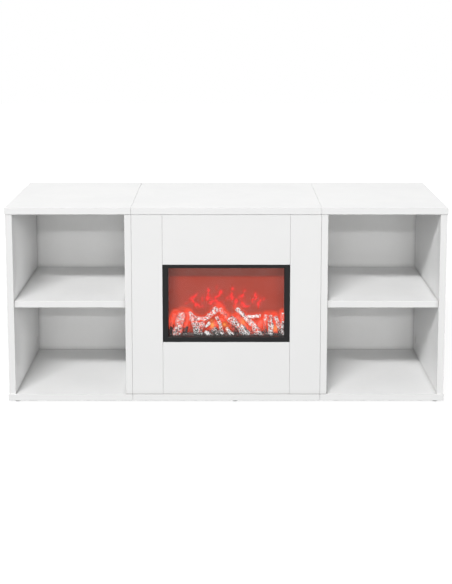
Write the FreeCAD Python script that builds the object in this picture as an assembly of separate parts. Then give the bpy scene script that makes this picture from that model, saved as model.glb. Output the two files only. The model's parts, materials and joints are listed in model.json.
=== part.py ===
import FreeCAD, Part
import math
import os

from FreeCAD import Placement, Rotation, Vector

# White three-unit television cabinet with a flame-effect insert in its middle unit.
# Millimetres. X to the viewer's right, Y from the front to the back, Z up.
# The origin is on the floor under the middle of the cabinet.

# Cabinet
cabinet_width = 1000.0
cabinet_depth = 350.0
carcass_height = 450.0
board = 15.0
unit_gap = 0.4
end_overhang = 1.5
front_overhang = 2.0
edge_break = 0.4

# Shelves and back panels
shelf_clear_below = 203.0
shelf_setback = 5.0
shelf_play = 0.5
back_panel = 3.0
back_inset = 4.0
groove_depth = 5.0
groove_play = 0.15
service_width = 170.0
service_height = 110.0
service_corner = 20.0

# Glides under the bottom boards
foot_diameter = 16.0
foot_height = 5.0
foot_inset_x = 18.5
foot_inset_y = 18.0
centre_foot_shift = 20.0
nail_diameter = 2.0
nail_length = 10.0

# Cam joints and dowels between the boards
cam_diameter = 15.0
cam_depth = 12.5
cam_backset = 34.0
cam_from_back = 38.0
cam_cover_diameter = 17.5
cam_cover = 0.9
cam_bolt_diameter = 6.0
cam_thread_length = 11.0
cam_slot = 1.4
dowel_diameter = 8.0
dowel_length = 30.0
dowel_face_depth = 10.0
dowel_from_front = 60.0
dowel_spacing = 110.0
stile_dowel_from_end = 80.0
panel_dowel_from_edge = 60.0
fastener_play = 0.1

# Shelf pins
pin_diameter = 5.0
pin_depth = 8.0
pin_pad_reach = 9.0
pin_pad_width = 10.0
pin_pad = 2.0
pin_from_edge = 45.0

# Sleeve bolts that tie the three units together
tie_diameter = 7.0
tie_head_diameter = 13.0
tie_head = 1.6
tie_from_front = 75.0
tie_from_back = 80.0
tie_from_end = 95.0

# Front of the middle unit
stile_width = 70.0
lower_panel_height = 123.0
insert_width = 289.0
insert_height = 180.0
insert_gap = 0.5
frame_gap = 0.3
batten = 18.0
batten_play = 1.0
batten_from_insert = 20.0
wood_screw_diameter = 3.5
wood_screw_head = 7.0
batten_screw_length = 28.0
bracket_screw_length = 12.0
batten_screw_from_end = 18.0

# Bezel and glass of the insert
bezel_side_bar = 12.0
bezel_top_bar = 7.5
bezel_bottom_bar = 11.5
bezel_depth = 13.0
bezel_face = 2.2
bezel_wall = 2.0
bezel_edge = 0.6
boss_diameter = 5.2
boss_from_edge = 6.5
boss_from_end = 45.0
glass = 2.5
glass_lap = 2.6

# Sheet-metal box of the insert
sheet = 1.0
housing_inset = 2.5
housing_depth = 100.0
lip_setback = 0.4
cover_tab = 12.0
vent_width = 3.0
vent_height = 22.0
vent_pitch = 8.0
vent_count = 15
vent_from_end = 16.0
vent_corner = 1.35
bracket = 1.5
bracket_width = 20.0
bracket_leg = 25.0
bracket_from_end = 35.0
insert_screw_diameter = 2.8
insert_screw_head = 5.0
insert_screw_head_height = 1.6
insert_screw_length = 5.0

# Flame screen, ember bed and logs
screen_setback = 40.0
screen = 3.0
screen_play = 0.3
rail = 1.0
rail_reach = 8.0
bed_below_bar = 2.0
bed_wall = 2.0
bed_play = 0.5
coal_size = 9.0
coal_height = 3.5
coal_pitch = 13.0
coal_taper = 0.22
coal_turn = 37.0
coal_row_inset = 0.26
log_diameter = 11.6
log_play = 0.3
log_rise = 1.0
knot_swell = 1.12

# Light boards
ember_board_width = 10.0
light_board_length = 230.0
flame_board_width = 16.0
circuit_board = 1.6
led_size = 3.5
led_height = 1.2
led_pitch = 18.0
led_count = 12

# Flicker mechanism
rod_diameter = 4.0
vane_radius = 14.0
vane_length = 12.0
vane = 0.8
vane_bend = 30.0
vane_bend_at = 8.0
vane_hub_diameter = 8.0
vane_pitch = 16.0
vane_count = 11
vane_step = 50.0
vane_gap = 10.0
vane_shift_x = -18.0
rod_height = 28.0
running_play = 0.05
bush_diameter = 8.0
bush_flange_diameter = 11.0
bush_flange = 1.5
bush_length = 6.0
bearing_plate = 1.2
bearing_plate_width = 36.0
bearing_foot = 12.0
bearing_plate_above = 12.0
coupling_diameter = 10.0
coupling_length = 16.0
coupling_split = 1.0
motor_diameter = 36.0
motor_length = 18.0
motor_offset = 6.0
motor_edge = 1.5
motor_boss_diameter = 10.0
motor_ear_spacing = 44.0
motor_ear_width = 9.0
motor_shaft_depth = 6.0

# Driver board, power jack and switch on the rear cover
standoff_diameter = 6.0
standoff_length = 5.0
driver_width = 70.0
driver_height = 45.0
driver_shift_x = -35.0
driver_above_middle = 40.0
driver_hole_inset = 5.0
coil_size = 16.0
coil_height = 13.0
capacitor_diameter = 8.0
capacitor_height = 12.0
capacitor_spacing = 11.2
plug_block_width = 18.0
plug_block_depth = 6.0
plug_block_height = 8.0
jack_x = 72.0
jack_barrel_diameter = 8.0
jack_flange_diameter = 11.0
jack_flange = 2.0
jack_length = 12.0
jack_bore_depth = 11.0
jack_pin_length = 9.6
jack_bore_diameter = 5.5
jack_pin_diameter = 2.0
jack_nut = 2.5
jack_nut_across = 11.0
switch_x = 45.0
switch_width = 13.0
switch_height = 19.0
switch_depth = 12.0
switch_wall = 1.4
switch_flange = 1.8
switch_flange_lap = 1.2
rocker_play = 0.3
rocker_half_length = 7.2
rocker_rise = 3.0
rocker_dip = 1.6
rocker_skirt = 2.0
rocker_keel = 4.5
rocker_keel_half = 2.5
rocker_sink = 1.0
rocker_pin_diameter = 2.0
rocker_pin_bite = 1.2
rocker_tilt = 8.0
controls_above_middle = 30.0

# Levels and planes worked out from the sizes above
underside = foot_height
bottom_top = underside + board
top_under = underside + carcass_height - board
top_level = underside + carcass_height
board_front = -cabinet_depth / 2
face_front = board_front + front_overhang
cabinet_back = cabinet_depth / 2
frame_back = face_front + board
panel_back_y = cabinet_back - back_inset
panel_front_y = panel_back_y - back_panel
shelf_under = bottom_top + shelf_clear_below

insert_bottom = bottom_top + lower_panel_height + insert_gap
insert_top = insert_bottom + insert_height
insert_middle = (insert_bottom + insert_top) / 2
opening_half = insert_width / 2 - bezel_side_bar
opening_bottom = insert_bottom + bezel_bottom_bar
opening_top = insert_top - bezel_top_bar
column_half = insert_width / 2 + insert_gap
seam = column_half + stile_width

glass_front = face_front + bezel_depth
housing_front = glass_front + glass
housing_back = housing_front + housing_depth
housing_half = insert_width / 2 - housing_inset
housing_bottom = insert_bottom + housing_inset
housing_top = insert_top - housing_inset
inner_half = housing_half - sheet
inner_floor = housing_bottom + sheet
inner_top = housing_top - sheet
inner_front = housing_front + sheet

screen_front = face_front + screen_setback
screen_back = screen_front + screen
bed_front = inner_front + bed_play
bed_back = screen_front - bed_play
bed_half = inner_half - rail_reach - bed_play
bed_top = opening_bottom - bed_below_bar
fire_height = opening_top - bed_top

rod_y = screen_back + vane_gap + vane_radius
rod_z = inner_floor + rod_height
vane_span = vane_pitch * (vane_count - 1)
rod_left = vane_shift_x - vane_span / 2 - vane_pitch - bush_length
coupling_x = vane_shift_x + vane_span / 2 + vane_pitch + coupling_length / 2
motor_plate_x = coupling_x + coupling_length / 2 + vane_pitch / 2
left_plate_x = rod_left + bush_length / 2

groups = {}
holes = []


def box(xs, ys, zs):
    low = Vector(min(xs), min(ys), min(zs))
    size = Vector(max(xs), max(ys), max(zs)) - low
    return Part.makeBox(size.x, size.y, size.z, low)


def board_solid(xs, ys, zs):
    # A laminated board with all its edges slightly broken.
    plain = box(xs, ys, zs)
    return plain.makeChamfer(edge_break, plain.Edges)


def rod(radius, start, direction, length):
    return Part.makeCylinder(radius, length, start, direction)


def turned(profile, base, direction):
    # A solid of revolution from (radius, height) points that start and end on its axis.
    points = [Vector(radius, 0, height) for radius, height in profile]
    face = Part.Face(Part.makePolygon(points + points[:1]))
    solid = face.revolve(Vector(0, 0, 0), Vector(0, 0, 1), 360)
    return solid.transformed(Placement(base, Rotation(Vector(0, 0, 1), direction)).toMatrix())


def rounded_plate(xs, ys, zs, radius):
    # A plate that lies across Y, with round corners.
    plain = box(xs, ys, zs)
    corners = [e for e in plain.Edges if abs(e.Vertexes[0].Point.y - e.Vertexes[1].Point.y) > 1e-6]
    return plain.makeFillet(radius, corners)


def fasten(node, solid, hole=None):
    # Adds a fastener to its group and keeps the hole that it needs in the pieces around it.
    groups.setdefault(node, []).append(solid)
    if hole is not None:
        holes.append(hole)


def drilled(solid):
    # Cuts every kept hole that reaches into the solid.
    reached = [hole for hole in holes if hole.BoundBox.intersect(solid.BoundBox)]
    return solid.cut(reached) if reached else solid


def save(node, solids):
    shape = Part.makeCompound(solids) if isinstance(solids, list) else solids
    shape.exportStep(os.path.join("parts", node + ".step"))


# Fasteners


def dowel(start, direction):
    # start is the dowel's end in the face-drilled board.
    radius = dowel_diameter / 2
    play = Vector(direction).multiply(fastener_play)
    hole = rod(radius + fastener_play, start - play, direction, dowel_length + 2 * fastener_play)
    fasten("dowels", rod(radius, start, direction, dowel_length), hole)


def countersunk_screw(grow, length, base, direction):
    shank = wood_screw_diameter / 2 + grow
    head = wood_screw_head / 2 + grow
    drop = head - shank
    profile = [(0, 0), (head, 0), (shank, drop), (shank, length - shank), (0, length + grow)]
    return turned(profile, base, direction)


def wood_screw(length, base, direction):
    solid = countersunk_screw(0, length, base, direction)
    fasten("wood_screws", solid, countersunk_screw(fastener_play, length, base, direction))


def insert_screw(base, direction):
    # base is where the head's underside meets the sheet.
    shank = insert_screw_diameter / 2
    head = insert_screw_head / 2
    edge = insert_screw_head_height / 3
    profile = [
        (0, -insert_screw_head_height),
        (head - edge, -insert_screw_head_height),
        (head, edge - insert_screw_head_height),
        (head, 0),
        (shank, 0),
        (shank, insert_screw_length),
        (0, insert_screw_length),
    ]
    hole = rod(shank + fastener_play, base, direction, insert_screw_length + fastener_play)
    fasten("insert_screws", turned(profile, base, direction), hole)


def cam_joint(face_x, into, end_z, towards, covered):
    # A cam in a side board's face, and its bolt in the top or bottom board beyond end_z.
    y = cabinet_back - cam_from_back
    cam_z = end_z - towards * cam_backset
    bolt_x = face_x + into * board / 2
    bolt_radius = cam_bolt_diameter / 2
    cam_radius = cam_diameter / 2
    across = Vector(into, 0, 0)
    along = Vector(0, 0, -towards)
    thread_end = Vector(bolt_x, y, end_z + towards * cam_thread_length)
    bolt_length = cam_thread_length + cam_backset
    neck = bolt_radius / 2
    bolt = turned(
        [
            (0, 0),
            (bolt_radius, 0),
            (bolt_radius, bolt_length - 3 * bolt_radius),
            (neck, bolt_length - 2 * bolt_radius),
            (bolt_radius, bolt_length - bolt_radius),
            (bolt_radius, bolt_length),
            (0, bolt_length),
        ],
        thread_end,
        along,
    )
    play = fastener_play
    bore = rod(bolt_radius + play, thread_end - along * play, along, bolt_length + 2 * play)
    fasten("cam_bolts", bolt, bore)
    cam_base = Vector(face_x, y, cam_z)
    pocket = rod(cam_radius, cam_base, across, cam_depth)
    cam = rod(cam_radius - play, cam_base, across, cam_depth - play)
    entry_start = Vector(bolt_x, y, cam_z + towards * cam_radius)
    entry = rod(bolt_radius + play, entry_start, along, cam_radius + play)
    slot = box(
        (face_x, face_x + into * cam_slot),
        (y - cam_slot / 2, y + cam_slot / 2),
        (cam_z - cam_radius, cam_z + cam_radius),
    )
    fasten("cam_locks", cam.cut([entry, slot]), pocket)
    if covered:
        cover_radius = cam_cover_diameter / 2
        cover_edge = cam_cover / 2
        profile = [
            (0, 0),
            (cover_radius, 0),
            (cover_radius, cam_cover - cover_edge),
            (cover_radius - cover_edge, cam_cover),
            (0, cam_cover),
        ]
        fasten("cam_covers", turned(profile, cam_base, -across))


def side_joints(face_x, into, front, covered):
    # The cams and dowels that hold one side board to the boards above and below it.
    middle_x = face_x + into * board / 2
    for end_z, towards in ((bottom_top, -1), (top_under, 1)):
        cam_joint(face_x, into, end_z, towards, covered)
        for y in (front + dowel_from_front, front + dowel_from_front + dowel_spacing):
            start = Vector(middle_x, y, end_z + towards * dowel_face_depth)
            dowel(start, Vector(0, 0, -towards))


def shelf_pin(face_x, into, y):
    # A peg in the side board with a flat pad that carries the shelf.
    radius = pin_diameter / 2
    axis = Vector(into, 0, 0)
    centre = Vector(face_x, y, shelf_under - radius)
    peg = rod(radius, centre, axis, pin_depth)
    stub = rod(radius, centre - axis * pin_pad_reach, axis, pin_pad_reach)
    pad = box(
        (face_x, face_x - into * pin_pad_reach),
        (y - pin_pad_width / 2, y + pin_pad_width / 2),
        (shelf_under - pin_pad, shelf_under),
    )
    hole = rod(radius + fastener_play, centre, axis, pin_depth + fastener_play)
    fasten("shelf_pins", peg.fuse([stub, pad]).removeSplitter(), hole)


def unit_tie(side, y, z):
    # A sleeve bolt through the two boards that meet at a seam.
    radius = tie_diameter / 2
    grip = 2 * board + unit_gap
    start = Vector(side * (seam + unit_gap / 2 + board), y, z)
    axis = Vector(-side, 0, 0)
    head = tie_head_diameter / 2
    profile = [
        (0, -tie_head),
        (head - tie_head / 2, -tie_head),
        (head, -tie_head / 2),
        (head, 0),
        (radius, 0),
        (radius, grip),
        (head, grip),
        (head, grip + tie_head / 2),
        (head - tie_head / 2, grip + tie_head),
        (0, grip + tie_head),
    ]
    fasten("unit_ties", turned(profile, start, axis), rod(radius + fastener_play, start, axis, grip))


def foot(x, y):
    # A round glide with its nail moulded in.
    radius = foot_diameter / 2
    edge = foot_height / 8
    nail = nail_diameter / 2
    nail_top = foot_height + nail_length
    profile = [
        (0, 0),
        (radius - edge, 0),
        (radius, edge),
        (radius, foot_height - edge),
        (radius - edge, foot_height),
        (nail, foot_height),
        (nail, nail_top - nail_diameter),
        (0, nail_top),
    ]
    hole = rod(nail + fastener_play, Vector(x, y, underside), Vector(0, 0, 1), nail_length)
    fasten("feet", turned(profile, Vector(x, y, 0), Vector(0, 0, 1)), hole)


# Cabinet boards


def back_groove(solid, xs, zs):
    ys = (panel_front_y - groove_play, panel_back_y + groove_play)
    return solid.cut(box(xs, ys, zs))


def unit_boards(name, x_low, x_high, inner_low, inner_high):
    # The top, the bottom and the grooved back panel of one unit.
    boards = {}
    depth = (board_front, cabinet_back)
    slot_x = (inner_low - groove_depth, inner_high + groove_depth)
    top = board_solid((x_low, x_high), depth, (top_under, top_level))
    bottom = board_solid((x_low, x_high), depth, (underside, bottom_top))
    boards[name + "_top_board"] = back_groove(top, slot_x, (top_under, top_under + groove_depth))
    boards[name + "_bottom_board"] = back_groove(bottom, slot_x, (bottom_top - groove_depth, bottom_top))
    reach = groove_depth - groove_play
    boards[name + "_back_panel"] = box(
        (inner_low - reach, inner_high + reach),
        (panel_front_y, panel_back_y),
        (bottom_top - reach, top_under + reach),
    )
    return boards


def side_board(face_x, into, front):
    # A side whose inner face, at face_x, carries the groove for the back panel.
    solid = board_solid((face_x, face_x + into * board), (front, cabinet_back), (bottom_top, top_under))
    return back_groove(solid, (face_x, face_x + into * groove_depth), (bottom_top, top_under))


def shelf_unit(name, side):
    # side is -1 for the left unit and 1 for the right one.
    outer_face = side * (cabinet_width / 2 - end_overhang - board)
    inner_face = side * (seam + unit_gap / 2 + board)
    low, high = sorted((outer_face, inner_face))
    ends = sorted((side * cabinet_width / 2, side * (seam + unit_gap / 2)))
    boards = unit_boards(name, ends[0], ends[1], low, high)
    boards[name + "_outer_side"] = side_board(outer_face, side, face_front)
    boards[name + "_inner_side"] = side_board(inner_face, -side, face_front)
    boards[name + "_shelf"] = board_solid(
        (low + shelf_play, high - shelf_play),
        (face_front + shelf_setback, panel_front_y - shelf_play),
        (shelf_under, shelf_under + board),
    )
    for face_x, into in ((outer_face, side), (inner_face, -side)):
        side_joints(face_x, into, face_front, True)
        for y in (face_front + shelf_setback + pin_from_edge, panel_front_y - pin_from_edge):
            shelf_pin(face_x, into, y)
    for y in (face_front + tie_from_front, cabinet_back - tie_from_back):
        for z in (bottom_top + tie_from_end, top_under - tie_from_end):
            unit_tie(side, y, z)
    return boards


def centre_unit():
    outer = seam - unit_gap / 2
    face = outer - board
    boards = unit_boards("centre", -outer, outer, -face, face)
    service = rounded_plate(
        (-service_width / 2, service_width / 2),
        (panel_front_y, panel_back_y),
        (insert_middle - service_height / 2, insert_middle + service_height / 2),
        service_corner,
    )
    boards["centre_back_panel"] = boards["centre_back_panel"].cut(service)
    for name, side in (("left", -1), ("right", 1)):
        boards["centre_" + name + "_side"] = side_board(side * face, side, frame_back)
        side_joints(side * face, side, frame_back, False)
    return boards


def front_frame():
    # Two stiles and two panels round the insert, tied behind by two battens.
    boards = {}
    depth = (face_front, frame_back)
    outer = seam - unit_gap / 2
    panel_half = column_half - frame_gap
    for name, side in (("left", -1), ("right", 1)):
        boards[name + "_front_stile"] = board_solid(
            (side * column_half, side * outer), depth, (bottom_top, top_under)
        )
        for z in (bottom_top + stile_dowel_from_end, top_under - stile_dowel_from_end):
            start = Vector(side * (outer - board / 2), frame_back - dowel_face_depth, z)
            dowel(start, Vector(0, 1, 0))
    lower_top = insert_bottom - insert_gap
    upper_low = insert_top + insert_gap
    boards["lower_front_panel"] = board_solid((-panel_half, panel_half), depth, (bottom_top, lower_top))
    boards["upper_front_panel"] = board_solid((-panel_half, panel_half), depth, (upper_low, top_under))
    for end_z, towards in ((bottom_top, -1), (top_under, 1)):
        for x in (panel_dowel_from_edge - panel_half, panel_half - panel_dowel_from_edge):
            start = Vector(x, face_front + board / 2, end_z + towards * dowel_face_depth)
            dowel(start, Vector(0, 0, -towards))
    batten_half = outer - board - batten_play
    batten_depth = (frame_back, frame_back + batten)
    boards["front_battens"] = []
    for low in (lower_top - batten_from_insert - batten, upper_low + batten_from_insert):
        strip = board_solid((-batten_half, batten_half), batten_depth, (low, low + batten))
        boards["front_battens"].append(strip)
        for x in (batten_half - batten_screw_from_end, column_half - panel_dowel_from_edge / 2):
            for side in (-1, 1):
                base = Vector(side * x, frame_back + batten, low + batten / 2)
                wood_screw(batten_screw_length, base, Vector(0, -1, 0))
    return boards


def feet():
    left = foot_inset_x - cabinet_width / 2
    for x in (left, centre_foot_shift, -left):
        for y in (board_front + foot_inset_y, cabinet_back - foot_inset_y):
            foot(x, y)


# Fire insert


def fire_bezel():
    # A moulded frame, hollow behind, with screw bosses in its two side bars.
    half = insert_width / 2
    back = face_front + bezel_depth
    ring = box((-half, half), (face_front, back), (insert_bottom, insert_top))
    ring = ring.cut(box((-opening_half, opening_half), (face_front, back), (opening_bottom, opening_top)))
    front_edges = [e for e in ring.Edges if e.BoundBox.YMax < face_front + 1e-6]
    ring = ring.makeChamfer(bezel_edge, front_edges)
    hollow = box(
        (bezel_wall - half, half - bezel_wall),
        (face_front + bezel_face, back),
        (insert_bottom + bezel_wall, insert_top - bezel_wall),
    )
    core = box(
        (-opening_half - bezel_wall, opening_half + bezel_wall),
        (face_front + bezel_face, back),
        (opening_bottom - bezel_wall, opening_top + bezel_wall),
    )
    ring = ring.cut(hollow.cut(core))
    bosses = []
    boss_x = half - boss_from_edge
    boss_start = face_front + bezel_face
    for x in (-boss_x, boss_x):
        for z in (insert_bottom + boss_from_end, insert_top - boss_from_end):
            start = Vector(x, boss_start, z)
            bosses.append(rod(boss_diameter / 2, start, Vector(0, 1, 0), housing_front - boss_start))
            insert_screw(Vector(x, inner_front, z), Vector(0, -1, 0))
    return ring.fuse(bosses)


def fire_glass():
    half = opening_half + glass_lap
    zs = (opening_bottom - glass_lap, opening_top + glass_lap)
    return box((-half, half), (glass_front, housing_front), zs)


def fire_housing():
    # A folded box with a lip behind the glass and four tabs for the rear cover.
    depth = (housing_front, housing_back)
    shell = box((-housing_half, housing_half), depth, (housing_bottom, housing_top))
    shell = shell.cut(box((-inner_half, inner_half), (inner_front, housing_back), (inner_floor, inner_top)))
    window_half = opening_half + lip_setback
    window_z = (opening_bottom - lip_setback, opening_top + lip_setback)
    shell = shell.cut(box((-window_half, window_half), (housing_front, inner_front), window_z))
    tabs = []
    tab_depth = (housing_back - sheet, housing_back)
    for x in (-inner_half, inner_half):
        inward = x - math.copysign(cover_tab, x)
        for z, z_in in ((inner_floor, inner_floor + cover_tab), (inner_top, inner_top - cover_tab)):
            tabs.append(box((x, inward), tab_depth, (z, z_in)))
            hole_x = (x + inward) / 2
            insert_screw(Vector(hole_x, housing_back + sheet, (z + z_in) / 2), Vector(0, -1, 0))
    return shell.fuse(tabs).removeSplitter()


def fire_rear_cover():
    # A flat cover with two rows of vents, and cut-outs for the jack and the switch.
    depth = (housing_back, housing_back + sheet)
    plate = box((-housing_half, housing_half), depth, (housing_bottom, housing_top))
    cuts = []
    first = -vent_pitch * (vent_count - 1) / 2
    low = housing_bottom + vent_from_end
    high = housing_top - vent_from_end - vent_height
    for index in range(vent_count):
        x = first + index * vent_pitch
        for z in (low, high):
            span_x = (x - vent_width / 2, x + vent_width / 2)
            cuts.append(rounded_plate(span_x, depth, (z, z + vent_height), vent_corner))
    return plate.cut(cuts)


def insert_brackets():
    # Four angle brackets between the housing's sides and the backs of the stiles.
    solids = []
    for side in (-1, 1):
        for z in (housing_bottom + bracket_from_end, housing_top - bracket_from_end):
            zs = (z - bracket_width / 2, z + bracket_width / 2)
            near = side * housing_half
            upright = box((near, near + side * bracket), (frame_back, frame_back + bracket_leg), zs)
            flat = box((near, near + side * bracket_leg), (frame_back, frame_back + bracket), zs)
            solids.append(upright.fuse(flat).removeSplitter())
            middle = (bracket + bracket_leg) / 2
            insert_screw(Vector(near + side * bracket, frame_back + middle, z), Vector(-side, 0, 0))
            wood_x = (near + side * bracket_leg + side * column_half) / 2
            wood_screw(bracket_screw_length, Vector(wood_x, frame_back + bracket, z), Vector(0, -1, 0))
    return solids


def screen_rails():
    # Two upright channels on the housing's sides that hold the flame screen.
    solids = []
    slot = (screen_front - screen_play, screen_back + screen_play)
    for side in (-1, 1):
        far = side * inner_half
        near = far - side * rail_reach
        channel = box((near, far), (slot[0] - rail, slot[1] + rail), (inner_floor, inner_top))
        solids.append(channel.cut(box((near, far - side * rail), slot, (inner_floor, inner_top))))
    return solids


def flame_screen():
    half = inner_half - rail - screen_play
    return box((-half, half), (screen_front, screen_back), (inner_floor, inner_top - screen_play))


def coals():
    # Broken coals in two staggered rows, each a block that narrows towards its top.
    solids = []
    count = int(2 * bed_half / coal_pitch)
    row_inset = (bed_back - bed_front) * coal_row_inset
    rows = (bed_front + row_inset, bed_back - row_inset)
    for index in range(count):
        turn_angle = math.radians(coal_turn * index)
        size = coal_size * (4 + math.sin(4 * turn_angle)) / 5
        height = coal_height * (3 + math.cos(3 * turn_angle)) / 4
        inset = size * coal_taper
        block = Part.makeWedge(
            -size / 2, 0, -size / 2, inset - size / 2, inset - size / 2,
            size / 2, height, size / 2, size / 2 - inset, size / 2 - inset,
        )
        x = (index + 0.5) * 2 * bed_half / count - bed_half
        upright = Rotation(Vector(1, 0, 0), 90)
        turn = Rotation(Vector(0, 0, 1), coal_turn * index)
        place = Placement(Vector(x, rows[index % 2], bed_top), turn.multiply(upright))
        solids.append(block.transformed(place.toMatrix()))
    return solids


def ember_bed():
    # A moulded tray, open below, with coals on its top.
    outer = box((-bed_half, bed_half), (bed_front, bed_back), (inner_floor, bed_top))
    inner = box(
        (bed_wall - bed_half, bed_half - bed_wall),
        (bed_front + bed_wall, bed_back - bed_wall),
        (inner_floor, bed_top - bed_wall),
    )
    limit = box((-bed_half, bed_half), (bed_front, bed_back), (bed_top, opening_top))
    lumps = [coal.common(limit) for coal in coals()]
    return outer.cut(inner).fuse(lumps).removeSplitter()


# Each log runs through points, given as shares of the bed's half width and of the fire's height, and tapers
# from its first to its last share of the log diameter.
front_log_lines = (
    (((-0.747, 0.294), (-0.913, -0.012)), 1.0, 0.931),
    (((-0.619, 0.166), (-0.604, -0.012)), 0.966, 1.0),
    (((-0.498, 0.16), (-0.453, -0.012)), 0.931, 1.0),
    (((-0.174, 0.245), (-0.045, -0.025)), 0.655, 0.759),
    (((-0.4, 0.018), (-0.196, -0.006)), 0.759, 0.655),
    (((-0.015, 0.098), (0.121, -0.018)), 0.621, 0.724),
    (((0.03, 0.245), (0.415, -0.025)), 0.931, 1.0),
    (((0.777, 0.282), (0.777, -0.012)), 0.793, 0.931),
    (((0.853, 0.258), (0.951, -0.012)), 0.793, 0.724),
    (((0.566, 0.037), (0.574, -0.012)), 0.966, 1.0),
)
rear_log_lines = (
    (((-0.785, 0.319), (-0.943, 0.025)), 0.897, 0.897),
    (((-0.755, 0.325), (-0.37, 0.196), (-0.166, 0.38)), 0.759, 0.828),
    (((-0.023, 0.245), (-0.257, -0.012)), 0.897, 0.897),
    (((0.158, 0.368), (0.377, 0.221), (0.574, 0.012)), 0.828, 0.897),
    (((0.196, 0.258), (0.332, -0.012)), 0.862, 0.897),
    (((0.347, 0.264), (0.596, 0.252)), 0.724, 0.759),
    (((0.679, 0.258), (0.634, -0.012)), 0.759, 0.862),
    (((0.845, 0.221), (0.966, -0.012)), 0.862, 0.862),
)


def log_layer(lines, depth):
    # Every log of one layer, moulded together, standing on the bed and its coals. A bend is a knot.
    pieces = []
    for points, first, last in lines:
        path = [
            Vector(across * bed_half, depth, bed_top + log_rise + up * fire_height) for across, up in points
        ]
        steps = len(path) - 1
        shares = [first + (last - first) * index / steps for index in range(steps + 1)]
        radii = [share * log_diameter / 2 for share in shares]
        for index in range(steps):
            run = path[index + 1] - path[index]
            cone = (radii[index], radii[index + 1])
            if abs(cone[0] - cone[1]) < 1e-6:
                pieces.append(rod(cone[0], path[index], run, run.Length))
            else:
                pieces.append(Part.makeCone(cone[0], cone[1], run.Length, path[index], run))
        for index in range(1, steps):
            pieces.append(Part.makeSphere(radii[index] * knot_swell, path[index]))
    moulded = pieces[0].fuse(pieces[1:])
    under = box((-inner_half, inner_half), (inner_front, screen_front), (inner_floor - board, bed_top))
    return moulded.cut([under] + coals())


def layer_reach(lines):
    return max(max(first, last) for points, first, last in lines) * log_diameter / 2


def front_logs():
    return log_layer(front_log_lines, inner_front + log_play + layer_reach(front_log_lines))


def rear_logs():
    return log_layer(rear_log_lines, screen_front - log_play - layer_reach(rear_log_lines) * knot_swell)


def light_row(y, z):
    # A row of lamps on a board whose top is at z.
    first = -led_pitch * (led_count - 1) / 2
    half = led_size / 2
    for index in range(led_count):
        x = first + index * led_pitch
        fasten("lamps", box((x - half, x + half), (y - half, y + half), (z, z + led_height)))


def light_boards():
    pieces = {}
    half = light_board_length / 2
    ember_y = (bed_front + bed_back) / 2
    ember_depth = (ember_y - ember_board_width / 2, ember_y + ember_board_width / 2)
    ember_top = inner_floor + circuit_board
    pieces["ember_light_board"] = box((-half, half), ember_depth, (inner_floor, ember_top))
    light_row(ember_y, ember_top)
    flame_low = inner_floor + standoff_length
    flame_top = flame_low + circuit_board
    flame_y = rod_y + vane_radius + flame_board_width / 2 + vane_gap / 2
    flame_depth = (flame_y - flame_board_width / 2, flame_y + flame_board_width / 2)
    pieces["flame_light_board"] = box((-half, half), flame_depth, (flame_low, flame_top))
    light_row(flame_y, flame_top)
    for x in (standoff_diameter - half, half - standoff_diameter):
        standoff(Vector(x, flame_y, inner_floor), Vector(0, 0, 1))
    return pieces


def standoff(base, direction):
    # A plain spacer, with a screw through the board that it carries.
    fasten("standoffs", rod(standoff_diameter / 2, base, direction, standoff_length))
    head = base + direction * (standoff_length + circuit_board)
    insert_screw(head, -direction)


# Flicker mechanism


def flicker_vanes():
    # Bent mirror blades on hubs along the rod, each turned on from the one before.
    solids = []
    first = vane_shift_x - vane_span / 2
    tip = vane_radius - vane_bend_at
    for index in range(vane_count):
        x = first + index * vane_pitch
        xs = (x - vane_length / 2, x + vane_length / 2)
        hub_start = Vector(x - vane_length / 2, 0, 0)
        hub = rod(vane_hub_diameter / 2, hub_start, Vector(1, 0, 0), vane_length)
        pieces = [box(xs, (-vane / 2, vane / 2), (-vane_bend_at, vane_bend_at))]
        for way in (-1, 1):
            leaf = box(xs, (-vane / 2, vane / 2), (0, way * tip))
            bend = Placement(Vector(0, 0, way * vane_bend_at), Rotation(Vector(1, 0, 0), vane_bend))
            pieces.append(leaf.transformed(bend.toMatrix()))
        vane_solid = hub.fuse(pieces).cut(rod(rod_diameter / 2, hub_start, Vector(1, 0, 0), vane_length))
        turn = Placement(Vector(0, rod_y, rod_z), Rotation(Vector(1, 0, 0), vane_step * index))
        solids.append(vane_solid.transformed(turn.toMatrix()))
    return solids


def flicker_train():
    pieces = {}
    radius = rod_diameter / 2
    axis = Vector(1, 0, 0)
    rod_end = coupling_x - coupling_split / 2
    shaft_start = coupling_x + coupling_split / 2
    shaft_end = motor_plate_x + bearing_plate + motor_shaft_depth
    pieces["flicker_rod"] = rod(radius, Vector(rod_left, rod_y, rod_z), axis, rod_end - rod_left)
    pieces["motor_shaft"] = rod(radius, Vector(shaft_start, rod_y, rod_z), axis, shaft_end - shaft_start)
    sleeve_start = Vector(coupling_x - coupling_length / 2, rod_y, rod_z)
    sleeve = rod(coupling_diameter / 2, sleeve_start, axis, coupling_length)
    pieces["rod_coupling"] = sleeve.cut(rod(radius, sleeve_start, axis, coupling_length))
    pieces["flicker_vanes"] = flicker_vanes()
    return pieces


def bearing_bracket(x, way, top):
    # An upright plate with a foot on the housing's floor. The foot points along way.
    half = bearing_plate_width / 2
    plate = box((x, x + bearing_plate), (rod_y - half, rod_y + half), (inner_floor, top))
    foot_x = x if way < 0 else x + bearing_plate
    foot_span = (foot_x, foot_x + way * bearing_foot)
    base = box(foot_span, (rod_y - half, rod_y + half), (inner_floor, inner_floor + bearing_plate))
    for y in (rod_y - half / 2, rod_y + half / 2):
        head = Vector(foot_x + way * bearing_foot / 2, y, inner_floor + bearing_plate)
        insert_screw(head, Vector(0, 0, -1))
    return plate.fuse(base).removeSplitter()


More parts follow.
